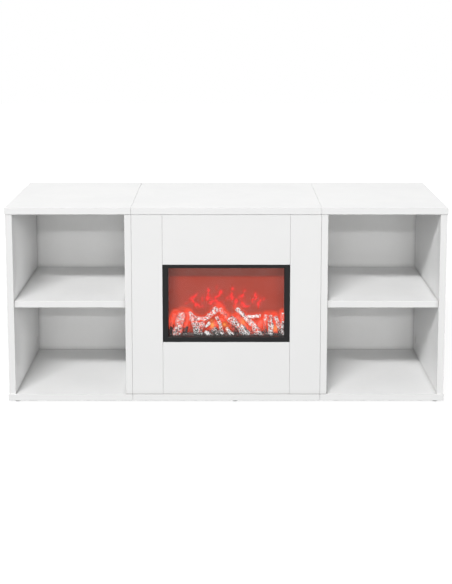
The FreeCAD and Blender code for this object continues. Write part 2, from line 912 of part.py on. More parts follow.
def rod_bearing():
    pieces = {}
    axis = Vector(1, 0, 0)
    plate_x = left_plate_x
    bush_start = plate_x + bearing_plate - bush_length + bush_flange
    flange_start = plate_x + bearing_plate
    bracket_solid = bearing_bracket(plate_x, -1, rod_z + bearing_plate_above)
    seat = rod(bush_diameter / 2, Vector(plate_x, rod_y, rod_z), axis, bearing_plate)
    pieces["rod_bracket"] = bracket_solid.cut(seat)
    bush = rod(bush_diameter / 2, Vector(bush_start, rod_y, rod_z), axis, flange_start - bush_start)
    flange = rod(bush_flange_diameter / 2, Vector(flange_start, rod_y, rod_z), axis, bush_flange)
    bore = rod(rod_diameter / 2 + running_play, Vector(bush_start, rod_y, rod_z), axis, bush_length)
    pieces["rod_bush"] = bush.fuse(flange).removeSplitter().cut(bore)
    return pieces


def flicker_motor():
    # A flat gear motor with two ears. Its shaft is below its middle.
    pieces = {}
    axis = Vector(1, 0, 0)
    face_x = motor_plate_x + bearing_plate
    middle = Vector(face_x, rod_y, rod_z + motor_offset)
    radius = motor_diameter / 2
    can = turned(
        [(0, 0), (radius, 0), (radius, motor_length - motor_edge),
         (radius - motor_edge, motor_length), (0, motor_length)],
        middle,
        axis,
    )
    ear_half = motor_ear_spacing / 2
    ear_y = (rod_y - motor_ear_width / 2, rod_y + motor_ear_width / 2)
    ear = box((face_x, face_x + sheet), ear_y, (middle.z - ear_half, middle.z + ear_half))
    ends = []
    for z in (middle.z - ear_half, middle.z + ear_half):
        ends.append(rod(motor_ear_width / 2, Vector(face_x, rod_y, z), axis, sheet))
        insert_screw(Vector(face_x + sheet, rod_y, z), -axis)
    body = can.fuse([ear] + ends).removeSplitter()
    bore_radius = rod_diameter / 2 + running_play
    pocket = rod(bore_radius, Vector(face_x, rod_y, rod_z), axis, motor_shaft_depth + fastener_play)
    pieces["flicker_motor"] = body.cut(pocket)
    plate = bearing_bracket(motor_plate_x, -1, middle.z + ear_half + motor_ear_width)
    way_through = rod(motor_boss_diameter / 2, Vector(motor_plate_x, rod_y, rod_z), axis, bearing_plate)
    pieces["motor_bracket"] = plate.cut(way_through)
    return pieces


# Driver board, power jack and switch


def driver_board():
    # A board on four spacers behind the cover, with a coil, two capacitors and a plug block.
    back = housing_back - standoff_length
    front = back - circuit_board
    low = insert_middle + driver_above_middle - driver_height / 2
    left = driver_shift_x - driver_width / 2
    plate = box((left, left + driver_width), (front, back), (low, low + driver_height))
    for x in (left + driver_hole_inset, left + driver_width - driver_hole_inset):
        for z in (low + driver_hole_inset, low + driver_height - driver_hole_inset):
            standoff(Vector(x, housing_back, z), Vector(0, -1, 0))
    middle_z = low + driver_height / 2
    coil_x = left + driver_width / 4
    coil = box(
        (coil_x - coil_size / 2, coil_x + coil_size / 2),
        (front, front - coil_height),
        (middle_z - coil_size / 2, middle_z + coil_size / 2),
    )
    parts = [coil]
    for step in (-1, 1):
        centre = Vector(driver_shift_x, front, middle_z + step * capacitor_spacing / 2)
        parts.append(rod(capacitor_diameter / 2, centre, Vector(0, -1, 0), capacitor_height))
    block_x = left + driver_width * 3 / 4
    parts.append(
        box(
            (block_x - plug_block_width / 2, block_x + plug_block_width / 2),
            (front, front - plug_block_height),
            (middle_z - plug_block_depth / 2, middle_z + plug_block_depth / 2),
        )
    )
    return plate.fuse(parts).removeSplitter()


def power_jack():
    pieces = {}
    outside = housing_back + sheet
    middle = Vector(jack_x, outside, insert_middle + controls_above_middle)
    inward = Vector(0, -1, 0)
    barrel = jack_barrel_diameter / 2
    flange = jack_flange_diameter / 2
    edge = jack_flange / 3
    profile = [
        (0, -jack_flange),
        (flange - edge, -jack_flange),
        (flange, edge - jack_flange),
        (flange, 0),
        (barrel, 0),
        (barrel, jack_length),
        (0, jack_length),
    ]
    socket_start = middle - inward * jack_flange
    socket = rod(jack_bore_diameter / 2, socket_start, inward, jack_bore_depth)
    pin = rod(jack_pin_diameter / 2, middle, inward, jack_pin_length)
    pieces["power_jack"] = turned(profile, middle, inward).cut(socket.cut(pin))
    holes.append(rod(barrel + fastener_play, middle, inward, sheet))
    nut_start = middle + inward * sheet
    corners = []
    for index in range(7):
        angle = math.radians(60 * index)
        reach = jack_nut_across / math.sqrt(3)
        corners.append(nut_start + Vector(reach * math.cos(angle), 0, reach * math.sin(angle)))
    nut = Part.Face(Part.makePolygon(corners)).extrude(inward * jack_nut)
    pieces["jack_nut"] = nut.cut(rod(barrel, nut_start, inward, jack_nut))
    return pieces


def power_switch():
    # A rocker on two pins in a snap-in case. At rest it is tilted to its on side.
    pieces = {}
    outside = housing_back + sheet
    face = outside + switch_flange
    middle_z = insert_middle + controls_above_middle
    half_x = switch_width / 2
    half_z = switch_height / 2
    lap = switch_flange_lap
    xs = (switch_x - half_x, switch_x + half_x)
    zs = (middle_z - half_z, middle_z + half_z)
    case = box(xs, (outside - switch_depth, outside), zs)
    flange = box((xs[0] - lap, xs[1] + lap), (outside, face), (zs[0] - lap, zs[1] + lap))
    cavity_half = half_x - switch_wall
    cavity = box(
        (switch_x - cavity_half, switch_x + cavity_half),
        (outside - switch_depth + switch_wall, face),
        (zs[0] + switch_wall, zs[1] - switch_wall),
    )
    pivot = Vector(switch_x, face - rocker_sink - switch_flange, middle_z)
    pin_half = cavity_half + rocker_pin_bite
    pin_start = pivot - Vector(pin_half, 0, 0)
    pin_radius = rocker_pin_diameter / 2
    hole_start = pin_start - Vector(running_play, 0, 0)
    hole = rod(pin_radius + running_play, hole_start, Vector(1, 0, 0), 2 * (pin_half + running_play))
    pieces["switch_case"] = case.fuse(flange).removeSplitter().cut([cavity, hole])
    half = rocker_half_length
    rise = rocker_rise + switch_flange
    outline = [
        (-half, -rocker_skirt),
        (-rocker_keel_half, -rocker_keel),
        (rocker_keel_half, -rocker_keel),
        (half, -rocker_skirt),
        (half, rise),
        (0, rise - rocker_rise + rocker_dip),
        (-half, rise),
    ]
    rocker_x = rocker_play - cavity_half
    points = [Vector(rocker_x, out, along) for along, out in outline]
    paddle = Part.Face(Part.makePolygon(points + points[:1])).extrude(Vector(-2 * rocker_x, 0, 0))
    paddle = paddle.fuse(rod(pin_radius, Vector(-pin_half, 0, 0), Vector(1, 0, 0), 2 * pin_half))
    tilt = Placement(pivot, Rotation(Vector(1, 0, 0), -rocker_tilt))
    pieces["switch_rocker"] = paddle.transformed(tilt.toMatrix())
    holes.append(box(xs, (housing_back, outside), zs))
    return pieces


# Assembly

drilled_pieces = {}
drilled_pieces.update(shelf_unit("left", -1))
drilled_pieces.update(shelf_unit("right", 1))
drilled_pieces.update(centre_unit())
drilled_pieces.update(front_frame())
drilled_pieces["fire_bezel"] = fire_bezel()
drilled_pieces["fire_housing"] = fire_housing()
drilled_pieces["fire_rear_cover"] = fire_rear_cover()
drilled_pieces["insert_brackets"] = insert_brackets()
drilled_pieces["driver_board"] = driver_board()
feet()

whole_pieces = {
    "fire_glass": fire_glass(),
    "screen_rails": screen_rails(),
    "flame_screen": flame_screen(),
    "ember_bed": ember_bed(),
    "front_logs": front_logs(),
    "rear_logs": rear_logs(),
}
whole_pieces.update(power_jack())
whole_pieces.update(power_switch())
whole_pieces.update(flicker_train())
drilled_pieces.update(light_boards())
drilled_pieces.update(rod_bearing())
drilled_pieces.update(flicker_motor())

drilled_pieces["standoffs"] = groups.pop("standoffs")

for node, shape in drilled_pieces.items():
    if isinstance(shape, list):
        save(node, [drilled(solid) for solid in shape])
    else:
        save(node, drilled(shape))
for node, shape in list(whole_pieces.items()) + list(groups.items()):
    save(node, shape)
print(len(drilled_pieces) + len(whole_pieces) + len(groups), "nodes written")
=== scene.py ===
import json
import math

import bpy
import numpy as np
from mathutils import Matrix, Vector


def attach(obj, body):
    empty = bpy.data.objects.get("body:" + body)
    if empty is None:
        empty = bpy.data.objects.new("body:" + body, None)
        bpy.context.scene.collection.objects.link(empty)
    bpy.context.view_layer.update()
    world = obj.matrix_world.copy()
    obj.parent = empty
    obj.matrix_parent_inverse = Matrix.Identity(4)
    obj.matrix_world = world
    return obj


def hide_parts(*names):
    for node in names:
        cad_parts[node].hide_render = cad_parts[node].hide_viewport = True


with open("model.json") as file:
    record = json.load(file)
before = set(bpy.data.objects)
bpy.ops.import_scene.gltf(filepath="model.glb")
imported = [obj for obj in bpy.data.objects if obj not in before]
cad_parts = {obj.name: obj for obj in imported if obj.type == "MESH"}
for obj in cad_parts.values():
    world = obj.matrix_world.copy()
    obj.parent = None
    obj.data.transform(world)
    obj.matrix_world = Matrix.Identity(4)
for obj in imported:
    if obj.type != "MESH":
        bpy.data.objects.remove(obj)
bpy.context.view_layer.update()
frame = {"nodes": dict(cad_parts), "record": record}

cadNodes = frame["nodes"]
nodeSlots = {part["node"]: part["material_slot"] for part in frame["record"]["subparts"]}
mm = 0.001
unlit = (0.0, 0.0, 0.0)
print("frame loaded:", len(cadNodes), "nodes")


# Node helpers: a key of inputs is a socket's name or number, a value is a number, a colour or another socket.
def addNode(tree, kind, inputs=None, **settings):
    node = tree.nodes.new(kind)
    for key, value in settings.items():
        setattr(node, key, value)
    for key, value in (inputs or {}).items():
        if isinstance(value, bpy.types.NodeSocket):
            tree.links.new(value, node.inputs[key])
        else:
            node.inputs[key].default_value = value
    return node


def maths(tree, operation, a, b=0.5, clamp=False):
    return addNode(tree, "ShaderNodeMath", {0: a, 1: b}, operation=operation, use_clamp=clamp).outputs[0]


def times(tree, a, b):
    return maths(tree, "MULTIPLY", a, b)


def vectorMaths(tree, operation, a, b=(0.0, 0.0, 0.0), output="Vector"):
    return addNode(tree, "ShaderNodeVectorMath", {0: a, 1: b}, operation=operation).outputs[output]


def axesOf(tree, vector):
    return addNode(tree, "ShaderNodeSeparateXYZ", {0: vector}).outputs


def between(tree, value, low, high, start=0.0, end=1.0):
    # start up to low, end from high on, and a smooth step between them
    sockets = {"Value": value, "From Min": low, "From Max": high, "To Min": start, "To Max": end}
    return addNode(tree, "ShaderNodeMapRange", sockets, interpolation_type="SMOOTHSTEP").outputs[0]


def mixColour(tree, factor, a, b):
    # a where factor is 0, b where it is 1
    ends = [end if isinstance(end, bpy.types.NodeSocket) else (*end, 1.0) for end in (a, b)]
    return addNode(tree, "ShaderNodeMix", {0: factor, 6: ends[0], 7: ends[1]}, data_type="RGBA").outputs[2]


def noise(tree, place, scale, detail=2.0, roughness=0.5):
    sockets = {"Vector": place, "Scale": scale, "Detail": detail, "Roughness": roughness}
    return addNode(tree, "ShaderNodeTexNoise", sockets).outputs[0]


def stretched(tree, place, scale, turn=(0.0, 0.0, 0.0)):
    return addNode(tree, "ShaderNodeMapping", {"Vector": place, "Scale": scale, "Rotation": turn}).outputs[0]


def newGroup(name, inputs, outputs):
    group = bpy.data.node_groups.new(name, "ShaderNodeTree")
    for title, kind, value in inputs:
        socket = group.interface.new_socket(name=title, in_out="INPUT", socket_type="NodeSocket" + kind)
        if value is not None:
            socket.default_value = value
    for title in outputs:
        group.interface.new_socket(name=title, in_out="OUTPUT", socket_type="NodeSocketFloat")
    return group, group.nodes.new("NodeGroupInput").outputs, group.nodes.new("NodeGroupOutput").inputs


def useGroup(tree, group, inputs):
    return addNode(tree, "ShaderNodeGroup", inputs, node_tree=group).outputs


# Fine pebbled grain of a pressed or moulded face: height of the pebbles, and a slow cloudy mottle.
def makeGrain():
    group, inlet, outlet = newGroup(
        "pressedGrain",
        [("Place", "Vector", None), ("Scale", "Float", 900.0), ("Mottle Scale", "Float", 9.0)],
        ["Height", "Mottle"],
    )
    coarseScale = times(group, inlet["Scale"], 0.31)
    fine = noise(group, inlet["Place"], inlet["Scale"], detail=2.0, roughness=0.6)
    coarse = noise(group, inlet["Place"], coarseScale, detail=1.0)
    mottle = noise(group, inlet["Place"], inlet["Mottle Scale"], detail=3.0, roughness=0.55)
    group.links.new(maths(group, "ADD", fine, coarse), outlet["Height"])
    group.links.new(mottle, outlet["Mottle"])
    return group


# Rubbed edges: where the rounded normal leaves the true one, broken up by noise.
def makeEdgeRub():
    group, inlet, outlet = newGroup(
        "edgeRub",
        [("Place", "Vector", None), ("Radius", "Float", 0.0008), ("Break", "Float", 260.0)],
        ["Mask"],
    )
    rounded = addNode(group, "ShaderNodeBevel", {"Radius": inlet["Radius"]}, samples=4).outputs[0]
    true = addNode(group, "ShaderNodeNewGeometry").outputs["Normal"]
    facing = vectorMaths(group, "DOT_PRODUCT", rounded, true, "Value")
    edge = between(group, facing, 0.80, 0.99, 1.0, 0.0)
    patchy = between(group, noise(group, inlet["Place"], inlet["Break"], detail=3.0), 0.38, 0.62)
    group.links.new(times(group, edge, patchy), outlet["Mask"])
    return group


# Dust that settles on what faces up.
def makeDust():
    group, inlet, outlet = newGroup(
        "settledDust", [("Place", "Vector", None), ("Scale", "Float", 140.0)], ["Mask"]
    )
    normal = addNode(group, "ShaderNodeNewGeometry").outputs["Normal"]
    upward = between(group, axesOf(group, normal)[2], 0.3, 0.95)
    patchy = noise(group, inlet["Place"], inlet["Scale"], detail=4.0, roughness=0.65)
    patchy = between(group, patchy, 0.35, 0.75)
    group.links.new(times(group, upward, patchy), outlet["Mask"])
    return group


# Small flakes: each cell of a scatter is either a flake or a gap, with ragged borders.
def makeFlakes():
    group, inlet, outlet = newGroup(
        "flakes",
        [("Place", "Vector", None), ("Scale", "Float", 300.0), ("Share", "Float", 0.6)],
        ["Mask"],
    )
    sockets = {"Vector": inlet["Place"], "Scale": inlet["Scale"]}
    ragged = addNode(group, "ShaderNodeTexNoise", sockets).outputs[1]
    moved = vectorMaths(group, "ADD", inlet["Place"], vectorMaths(group, "MULTIPLY", ragged, [1.6 * mm] * 3))
    cells = addNode(group, "ShaderNodeTexVoronoi", {"Vector": moved, "Scale": inlet["Scale"]})
    pick = addNode(group, "ShaderNodeSeparateColor", {0: cells.outputs["Color"]}).outputs[0]
    group.links.new(maths(group, "LESS_THAN", pick, inlet["Share"]), outlet["Mask"])
    return group


# Painted corner shade: darker where other boards stand close, inside a box given by its middle and half
# sizes.
def makeCornerShade():
    group, inlet, outlet = newGroup(
        "paintedCornerShade",
        [
            ("Place", "Vector", None), ("Reach", "Float", 0.1), ("Middle", "Vector", (0.0, 0.0, 0.0)),
            ("Half", "Vector", (1.0, 1.0, 1.0)),
        ],
        ["Mask"],
    )
    nearby = addNode(group, "ShaderNodeAmbientOcclusion", {"Distance": inlet["Reach"]}, samples=6)
    closed = nearby.outputs["AO"]
    away = vectorMaths(group, "ABSOLUTE", vectorMaths(group, "SUBTRACT", inlet["Place"], inlet["Middle"]))
    room = axesOf(group, vectorMaths(group, "SUBTRACT", inlet["Half"], away))
    least = maths(group, "MINIMUM", maths(group, "MINIMUM", room[0], room[1]), room[2])
    inside = maths(group, "GREATER_THAN", least, 0.0)
    group.links.new(times(group, maths(group, "SUBTRACT", 1.0, closed), inside), outlet["Mask"])
    return group


# Long fine lines of a brushed or drawn metal, or of wood fibre, along the way that Stretch leaves short.
def makeFibre():
    group, inlet, outlet = newGroup(
        "longFibre",
        [("Place", "Vector", None), ("Stretch", "Vector", (1.0, 1.0, 1.0)), ("Scale", "Float", 1500.0)],
        ["Height", "Band"],
    )
    drawn = vectorMaths(group, "MULTIPLY", inlet["Place"], inlet["Stretch"])
    wideScale = times(group, inlet["Scale"], 0.12)
    group.links.new(noise(group, drawn, inlet["Scale"], detail=3.0, roughness=0.6), outlet["Height"])
    group.links.new(noise(group, drawn, wideScale, detail=2.0), outlet["Band"])
    return group


pressedGrain = makeGrain()
edgeRub = makeEdgeRub()
settledDust = makeDust()
flakes = makeFlakes()
paintedCornerShade = makeCornerShade()
longFibre = makeFibre()
print("shared effects ready")


def newFinish(name, roughness=0.5, metallic=0.0, specular=0.5):
    material = bpy.data.materials.new(name)
    material.use_nodes = True
    tree = material.node_tree
    tree.nodes.clear()
    shader = addNode(
        tree, "ShaderNodeBsdfPrincipled",
        {"Roughness": roughness, "Metallic": metallic, "Specular IOR Level": specular},
    )
    outlet = addNode(tree, "ShaderNodeOutputMaterial")
    tree.links.new(shader.outputs[0], outlet.inputs[0])
    place = addNode(tree, "ShaderNodeTexCoord").outputs["Object"]
    return material, tree, shader.inputs, place


def bumped(tree, sockets, height, distance, strength=1.0):
    bump = addNode(tree, "ShaderNodeBump", {"Height": height, "Distance": distance, "Strength": strength})
    tree.links.new(bump.outputs[0], sockets["Normal"])


def glossed(tree, sockets, mask, gloss):
    # roughness runs between the two values of gloss with a noise
    tree.links.new(between(tree, mask, 0.25, 0.75, *gloss), sockets["Roughness"])


def grained(tree, place, scale, mottleScale):
    return useGroup(tree, pressedGrain, {"Place": place, "Scale": scale, "Mottle Scale": mottleScale})


# Painted shade in the corners inside the shelf units, along the joints where the boards meet.
cornerShadeSettings = {
    "colour": (0.27, 0.265, 0.26),
    "share": 0.60,
    "reach": 11.0 * mm,
    "middle": (0.0, 0.0, 230.0 * mm),
    "half": (486.0 * mm, 171.0 * mm, 212.0 * mm),
}


def withCornerShade(tree, place, colour):
    look = cornerShadeSettings
    sockets = {"Place": place, "Reach": look["reach"], "Middle": look["middle"], "Half": look["half"]}
    mask = useGroup(tree, paintedCornerShade, sockets)["Mask"]
    return mixColour(tree, times(tree, mask, look["share"]), colour, look["colour"])


# White board: pressed melamine with a banded front edge, whose glue line shows just behind the edge. The band
# is painted darker than the face, as painted shade on the front edges and front panels; painted shade also
# lies along the foot joint and in the inside corners.
boardSettings = {
    "face": (0.800, 0.800, 0.797),
    "shade": (0.782, 0.783, 0.782),
    # the band's whites are painted darker than the face: painted shade on the fronts
    "bandPaintedShade": (0.614, 0.614, 0.612),
    "bandPaintedShadeMottle": (0.602, 0.603, 0.602),
    "glueLine": (0.55, 0.54, 0.52),
    "dust": (0.66, 0.65, 0.63),
    "dustShare": 0.035,
    "dustScale": 55.0,
    # painted shade along the foot joint of the middle front: its colour, shares, reaches and fade
    "jointShade": (0.27, 0.265, 0.26),
    "jointShadeShare": (0.80, 0.10),
    "jointShadeReach": (2.4 * mm, 12.0 * mm),
    "jointShadeFade": 0.3 * mm,
    "footJoint": (0.0, -173.0 * mm, 20.0 * mm),
    "footHalf": 230.0 * mm,
    "bandThickness": 0.9 * mm,
    "lineWidth": 0.18 * mm,
    "grainScale": 950.0,
    "grainDepth": 0.025 * mm,
    "mottleScale": 7.0,
    "gloss": (0.36, 0.47),
}


def footJointShade(tree, place, across, high):
    # painted shade: a dark line in the joint where the middle front stands on the bottom boards, and a wider
    # soft shade above it; none below the joint
    look = boardSettings
    fade, joint = look["jointShadeFade"], look["footJoint"]
    offJoint = vectorMaths(tree, "DISTANCE", stretched(tree, place, (0.0, 1.0, 1.0)), joint, "Value")
    near, wide = (
        between(tree, offJoint, 0.15 * reach, reach, share, 0.0)
        for reach, share in zip(look["jointShadeReach"], look["jointShadeShare"])
    )
    offMiddle = maths(tree, "ABSOLUTE", across)
    inside = between(tree, offMiddle, look["footHalf"] - fade, look["footHalf"], 1.0, 0.0)
    above = between(tree, high, joint[2] - fade, joint[2])
    return times(tree, maths(tree, "MAXIMUM", near, wide), times(tree, inside, above))


def boardFinish(name, bandPlane):
    look = boardSettings
    material, tree, sockets, place = newFinish(name)
    grain = grained(tree, place, look["grainScale"], look["mottleScale"])
    cloud = between(tree, grain["Mottle"], 0.3, 0.7)
    across, deep, high = axesOf(tree, place)
    behind = bandPlane + look["bandThickness"]
    front = between(tree, deep, behind - look["lineWidth"], behind, 1.0, 0.0)
    face = mixColour(tree, cloud, look["face"], look["shade"])
    # the front band takes the darker whites: painted shade on the fronts
    colour = mixColour(tree, front, face, mixColour(tree, cloud, look["bandPaintedShade"], look["bandPaintedShadeMottle"]))
    offLine = maths(tree, "ABSOLUTE", maths(tree, "SUBTRACT", deep, behind))
    line = between(tree, offLine, 0.3 * look["lineWidth"], look["lineWidth"], 1.0, 0.0)
    colour = mixColour(tree, line, colour, look["glueLine"])
    dust = useGroup(tree, settledDust, {"Place": place, "Scale": look["dustScale"]})
    colour = mixColour(tree, times(tree, dust["Mask"], look["dustShare"]), colour, look["dust"])
    # painted shade along the foot joint
    colour = mixColour(tree, footJointShade(tree, place, across, high), colour, look["jointShade"])
    # painted shade in the corners inside the units
    tree.links.new(withCornerShade(tree, place, colour), sockets["Base Color"])
    glossed(tree, sockets, grain["Mottle"], look["gloss"])
    bumped(tree, sockets, maths(tree, "SUBTRACT", grain["Height"], line), look["grainDepth"])
    return material


# White-faced hardboard: smooth in front, with the woven print of the press screen behind. Its front white is
# painted lighter than the boards' white, as painted light inside the units, and it has painted shade in its
# inside corners.
backSettings = {
    # painted light: the front white is lighter than the boards' white to stand in for light inside the units
    "face": (0.885, 0.885, 0.881),
    "mottleShare": 0.15,
    "mottleScale": 11.0,
    "rear": (0.71, 0.698, 0.671),
    "fleck": (0.59, 0.55, 0.50),
    "fleckScale": 1100.0,
    "fleckShare": 0.22,
    "fleckStrength": 0.28,
    "grainScale": 700.0,
    "grainShare": 0.15,
    "screenPitch": 2.2 * mm,
    "screenDepth": 0.12 * mm,
    "gloss": (0.48, 0.62),
}


def hardboardFinish():
    look = backSettings
    material, tree, sockets, place = newFinish("whiteHardboard")
    grain = grained(tree, place, look["grainScale"], look["mottleScale"])
    normal = addNode(tree, "ShaderNodeNewGeometry").outputs["Normal"]
    behind = between(tree, axesOf(tree, normal)[1], 0.2, 0.8)
    across, _, high = axesOf(tree, place)
    turns = 2 * math.pi / look["screenPitch"]
    warp, weft = (
        maths(tree, "ABSOLUTE", maths(tree, "SINE", times(tree, axis, turns))) for axis in (across, high)
    )
    weave = times(tree, maths(tree, "ADD", warp, weft), behind)
    fibre = useGroup(tree, flakes, {"Place": place, "Scale": look["fleckScale"], "Share": look["fleckShare"]})
    rear = mixColour(tree, times(tree, fibre["Mask"], look["fleckStrength"]), look["rear"], look["fleck"])
    front = mixColour(tree, times(tree, grain["Mottle"], look["mottleShare"]), look["face"], look["rear"])
    # painted shade in the inside corners of the back
    front = withCornerShade(tree, place, front)
    tree.links.new(mixColour(tree, behind, front, rear), sockets["Base Color"])
    glossed(tree, sockets, grain["Mottle"], look["gloss"])
    relief = maths(tree, "ADD", times(tree, grain["Height"], look["grainShare"]), weave)
    bumped(tree, sockets, relief, look["screenDepth"], 0.5)
    return material


# Moulded plastics: fine spark-eroded grain, rubbed edges, a little dust on top.
plasticSettings = {
    "bezel_plastic": dict(
        body=(0.0116, 0.012, 0.0123), rubbed=(0.045, 0.046, 0.047),
        gloss=(0.40, 0.56), scale=1500.0, depth=0.03 * mm, specular=0.16,
    ),
    "foot_plastic": dict(
        body=(0.022, 0.022, 0.023), rubbed=(0.10, 0.10, 0.10),
        gloss=(0.45, 0.62), scale=1100.0, depth=0.05 * mm,
    ),
    "cover_plastic": dict(
        body=(0.71, 0.71, 0.70), rubbed=(0.76, 0.76, 0.76),
        gloss=(0.30, 0.42), scale=1400.0, depth=0.02 * mm,
    ),
    "white_nylon": dict(
        body=(0.72, 0.71, 0.67), rubbed=(0.82, 0.82, 0.80),
        gloss=(0.38, 0.52), scale=1200.0, depth=0.03 * mm,
    ),
    "jack_plastic": dict(
        body=(0.018, 0.018, 0.019), rubbed=(0.09, 0.09, 0.09),
        gloss=(0.30, 0.46), scale=1800.0, depth=0.02 * mm,
    ),
    "rocker_plastic": dict(
        body=(0.026, 0.026, 0.027), rubbed=(0.11, 0.11, 0.11),
        gloss=(0.22, 0.36), scale=2200.0, depth=0.015 * mm,
    ),
    "coupling_rubber": dict(
        body=(0.040, 0.038, 0.036), rubbed=(0.12, 0.11, 0.10),
        gloss=(0.62, 0.80), scale=900.0, depth=0.06 * mm,
    ),
}
plasticWear = {
    "dust": (0.42, 0.40, 0.37),
    "dustShare": 0.10,
    "dustScale": 160.0,
    "rubShare": 0.55,
    "rubRadius": 0.5 * mm,
    "rubBreak": 320.0,
    "mottleScale": 24.0,
    "darker": 0.86,
}


def plasticFinish(name, body, rubbed, gloss, scale, depth, specular=0.4):
    wear = plasticWear
    material, tree, sockets, place = newFinish(name, specular=specular)
    grain = grained(tree, place, scale, wear["mottleScale"])
    rub = useGroup(tree, edgeRub, {"Place": place, "Radius": wear["rubRadius"], "Break": wear["rubBreak"]})
    dust = useGroup(tree, settledDust, {"Place": place, "Scale": wear["dustScale"]})
    darker = tuple(wear["darker"] * part for part in body)
    colour = mixColour(tree, between(tree, grain["Mottle"], 0.3, 0.7), body, darker)
    colour = mixColour(tree, times(tree, rub["Mask"], wear["rubShare"]), colour, rubbed)
    colour = mixColour(tree, times(tree, dust["Mask"], wear["dustShare"]), colour, wear["dust"])
    tree.links.new(colour, sockets["Base Color"])
    glossed(tree, sockets, grain["Mottle"], gloss)
    bumped(tree, sockets, grain["Height"], depth)
    return material


# Metals: drawn lines along one way, cloudy tarnish in the lines and between them.
metalSettings = {
    "zinc": dict(
        body=(0.60, 0.61, 0.60), tarnish=(0.40, 0.41, 0.42),
        gloss=(0.26, 0.46), way=(1.0, 1.0, 0.25),
    ),
    "bracket_steel": dict(
        body=(0.54, 0.55, 0.56), tarnish=(0.38, 0.39, 0.41),
        gloss=(0.28, 0.48), way=(1.0, 1.0, 0.06),
    ),
    "rod_steel": dict(
        body=(0.60, 0.60, 0.61), tarnish=(0.44, 0.45, 0.46),
        gloss=(0.14, 0.30), way=(0.03, 1.0, 1.0),
    ),
    "vane_mirror": dict(
        body=(0.86, 0.87, 0.88), tarnish=(0.74, 0.75, 0.76),
        gloss=(0.04, 0.14), way=(0.10, 1.0, 1.0),
    ),
    "bush_brass": dict(
        body=(0.66, 0.46, 0.20), tarnish=(0.42, 0.28, 0.12),
        gloss=(0.24, 0.44), way=(0.20, 1.0, 1.0),
    ),
    "motor_can": dict(
        body=(0.55, 0.55, 0.54), tarnish=(0.36, 0.36, 0.36),
        gloss=(0.30, 0.50), way=(0.05, 1.0, 1.0),
    ),
}
metalWear = {
    "lineScale": 1600.0,
    "lineDepth": 0.02 * mm,
    "lineTarnish": 0.25,
    "grainScale": 700.0,
    "mottleScale": 60.0,
}


def metalFinish(name, body, tarnish, gloss, way):
    wear = metalWear
    material, tree, sockets, place = newFinish(name, metallic=1.0)
    lines = useGroup(tree, longFibre, {"Place": place, "Stretch": way, "Scale": wear["lineScale"]})
    cloud = grained(tree, place, wear["grainScale"], wear["mottleScale"])
    colour = mixColour(tree, between(tree, cloud["Mottle"], 0.35, 0.72), body, tarnish)
    colour = mixColour(tree, times(tree, lines["Band"], wear["lineTarnish"]), colour, tarnish)
    tree.links.new(colour, sockets["Base Color"])
    glossed(tree, sockets, lines["Band"], gloss)
    bumped(tree, sockets, lines["Height"], wear["lineDepth"], 0.6)
    return material


# Powder-coated sheet: orange-peel skin, faint rubbed folds.
sheetSettings = {
    "body": (0.030, 0.030, 0.031),
    "light": (0.045, 0.045, 0.046),
    "rubbed": (0.16, 0.16, 0.16),
    "rubShare": 0.5,
    "rubRadius": 0.6 * mm,
    "rubBreak": 240.0,
    "peelScale": 620.0,
    "peelDepth": 0.06 * mm,
    "mottleScale": 30.0,
    "gloss": (0.42, 0.58),
}


def sheetFinish():
    look = sheetSettings
    material, tree, sockets, place = newFinish("blackSheet")
    grain = grained(tree, place, look["peelScale"], look["mottleScale"])
    rub = useGroup(tree, edgeRub, {"Place": place, "Radius": look["rubRadius"], "Break": look["rubBreak"]})
    colour = mixColour(tree, between(tree, grain["Mottle"], 0.3, 0.7), look["body"], look["light"])
    colour = mixColour(tree, times(tree, rub["Mask"], look["rubShare"]), colour, look["rubbed"])
    tree.links.new(colour, sockets["Base Color"])
    glossed(tree, sockets, grain["Mottle"], look["gloss"])
    bumped(tree, sockets, grain["Height"], look["peelDepth"])
    return material


# Plain woods of the battens and dowels: fibre along one way, darker late growth, pores.
woodSettings = {
    "batten_wood": dict(
        early=(0.58, 0.41, 0.24), late=(0.36, 0.22, 0.11),
        way=(0.035, 1.0, 1.0), ring=210.0,
    ),
    "dowel_wood": dict(
        early=(0.62, 0.46, 0.28), late=(0.44, 0.29, 0.15),
        way=(0.25, 0.25, 0.25), ring=420.0,
    ),
}
woodGrain = {
    "fibreScale": 1400.0,
    "bands": 26.0,
    "pore": 0.55,
    "poreShare": 0.45,
    "gloss": (0.55, 0.75),
    "depth": 0.08 * mm,
}


def woodFinish(name, early, late, way, ring):
    look = woodGrain
    material, tree, sockets, place = newFinish(name)
    fibre = useGroup(tree, longFibre, {"Place": place, "Stretch": way, "Scale": look["fibreScale"]})
    growth = useGroup(tree, longFibre, {"Place": place, "Stretch": way, "Scale": ring})
    bands = maths(tree, "SINE", times(tree, growth["Height"], look["bands"]))
    colour = mixColour(tree, between(tree, bands, -0.4, 1.0), early, late)
    pores = between(tree, fibre["Height"], 0.30, 0.44, 1.0, 0.0)
    poreColour = tuple(look["pore"] * part for part in late)
    colour = mixColour(tree, times(tree, pores, look["poreShare"]), colour, poreColour)
    tree.links.new(colour, sockets["Base Color"])
    glossed(tree, sockets, fibre["Band"], look["gloss"])
    bumped(tree, sockets, maths(tree, "SUBTRACT", fibre["Height"], pores), look["depth"])
    return material


# Circuit boards: solder mask over wandering tracks, with bare pads.
circuitSettings = {
    "mask": (0.030, 0.16, 0.060),
    "track": (0.045, 0.24, 0.085),
    "trackPitch": 2.6 * mm,
    "wander": 7.0,
    "wanderScale": 60.0,
    "pad": (0.62, 0.58, 0.46),
    "padScale": 230.0,
    "gloss": (0.34, 0.22),
    "depth": 0.03 * mm,
}


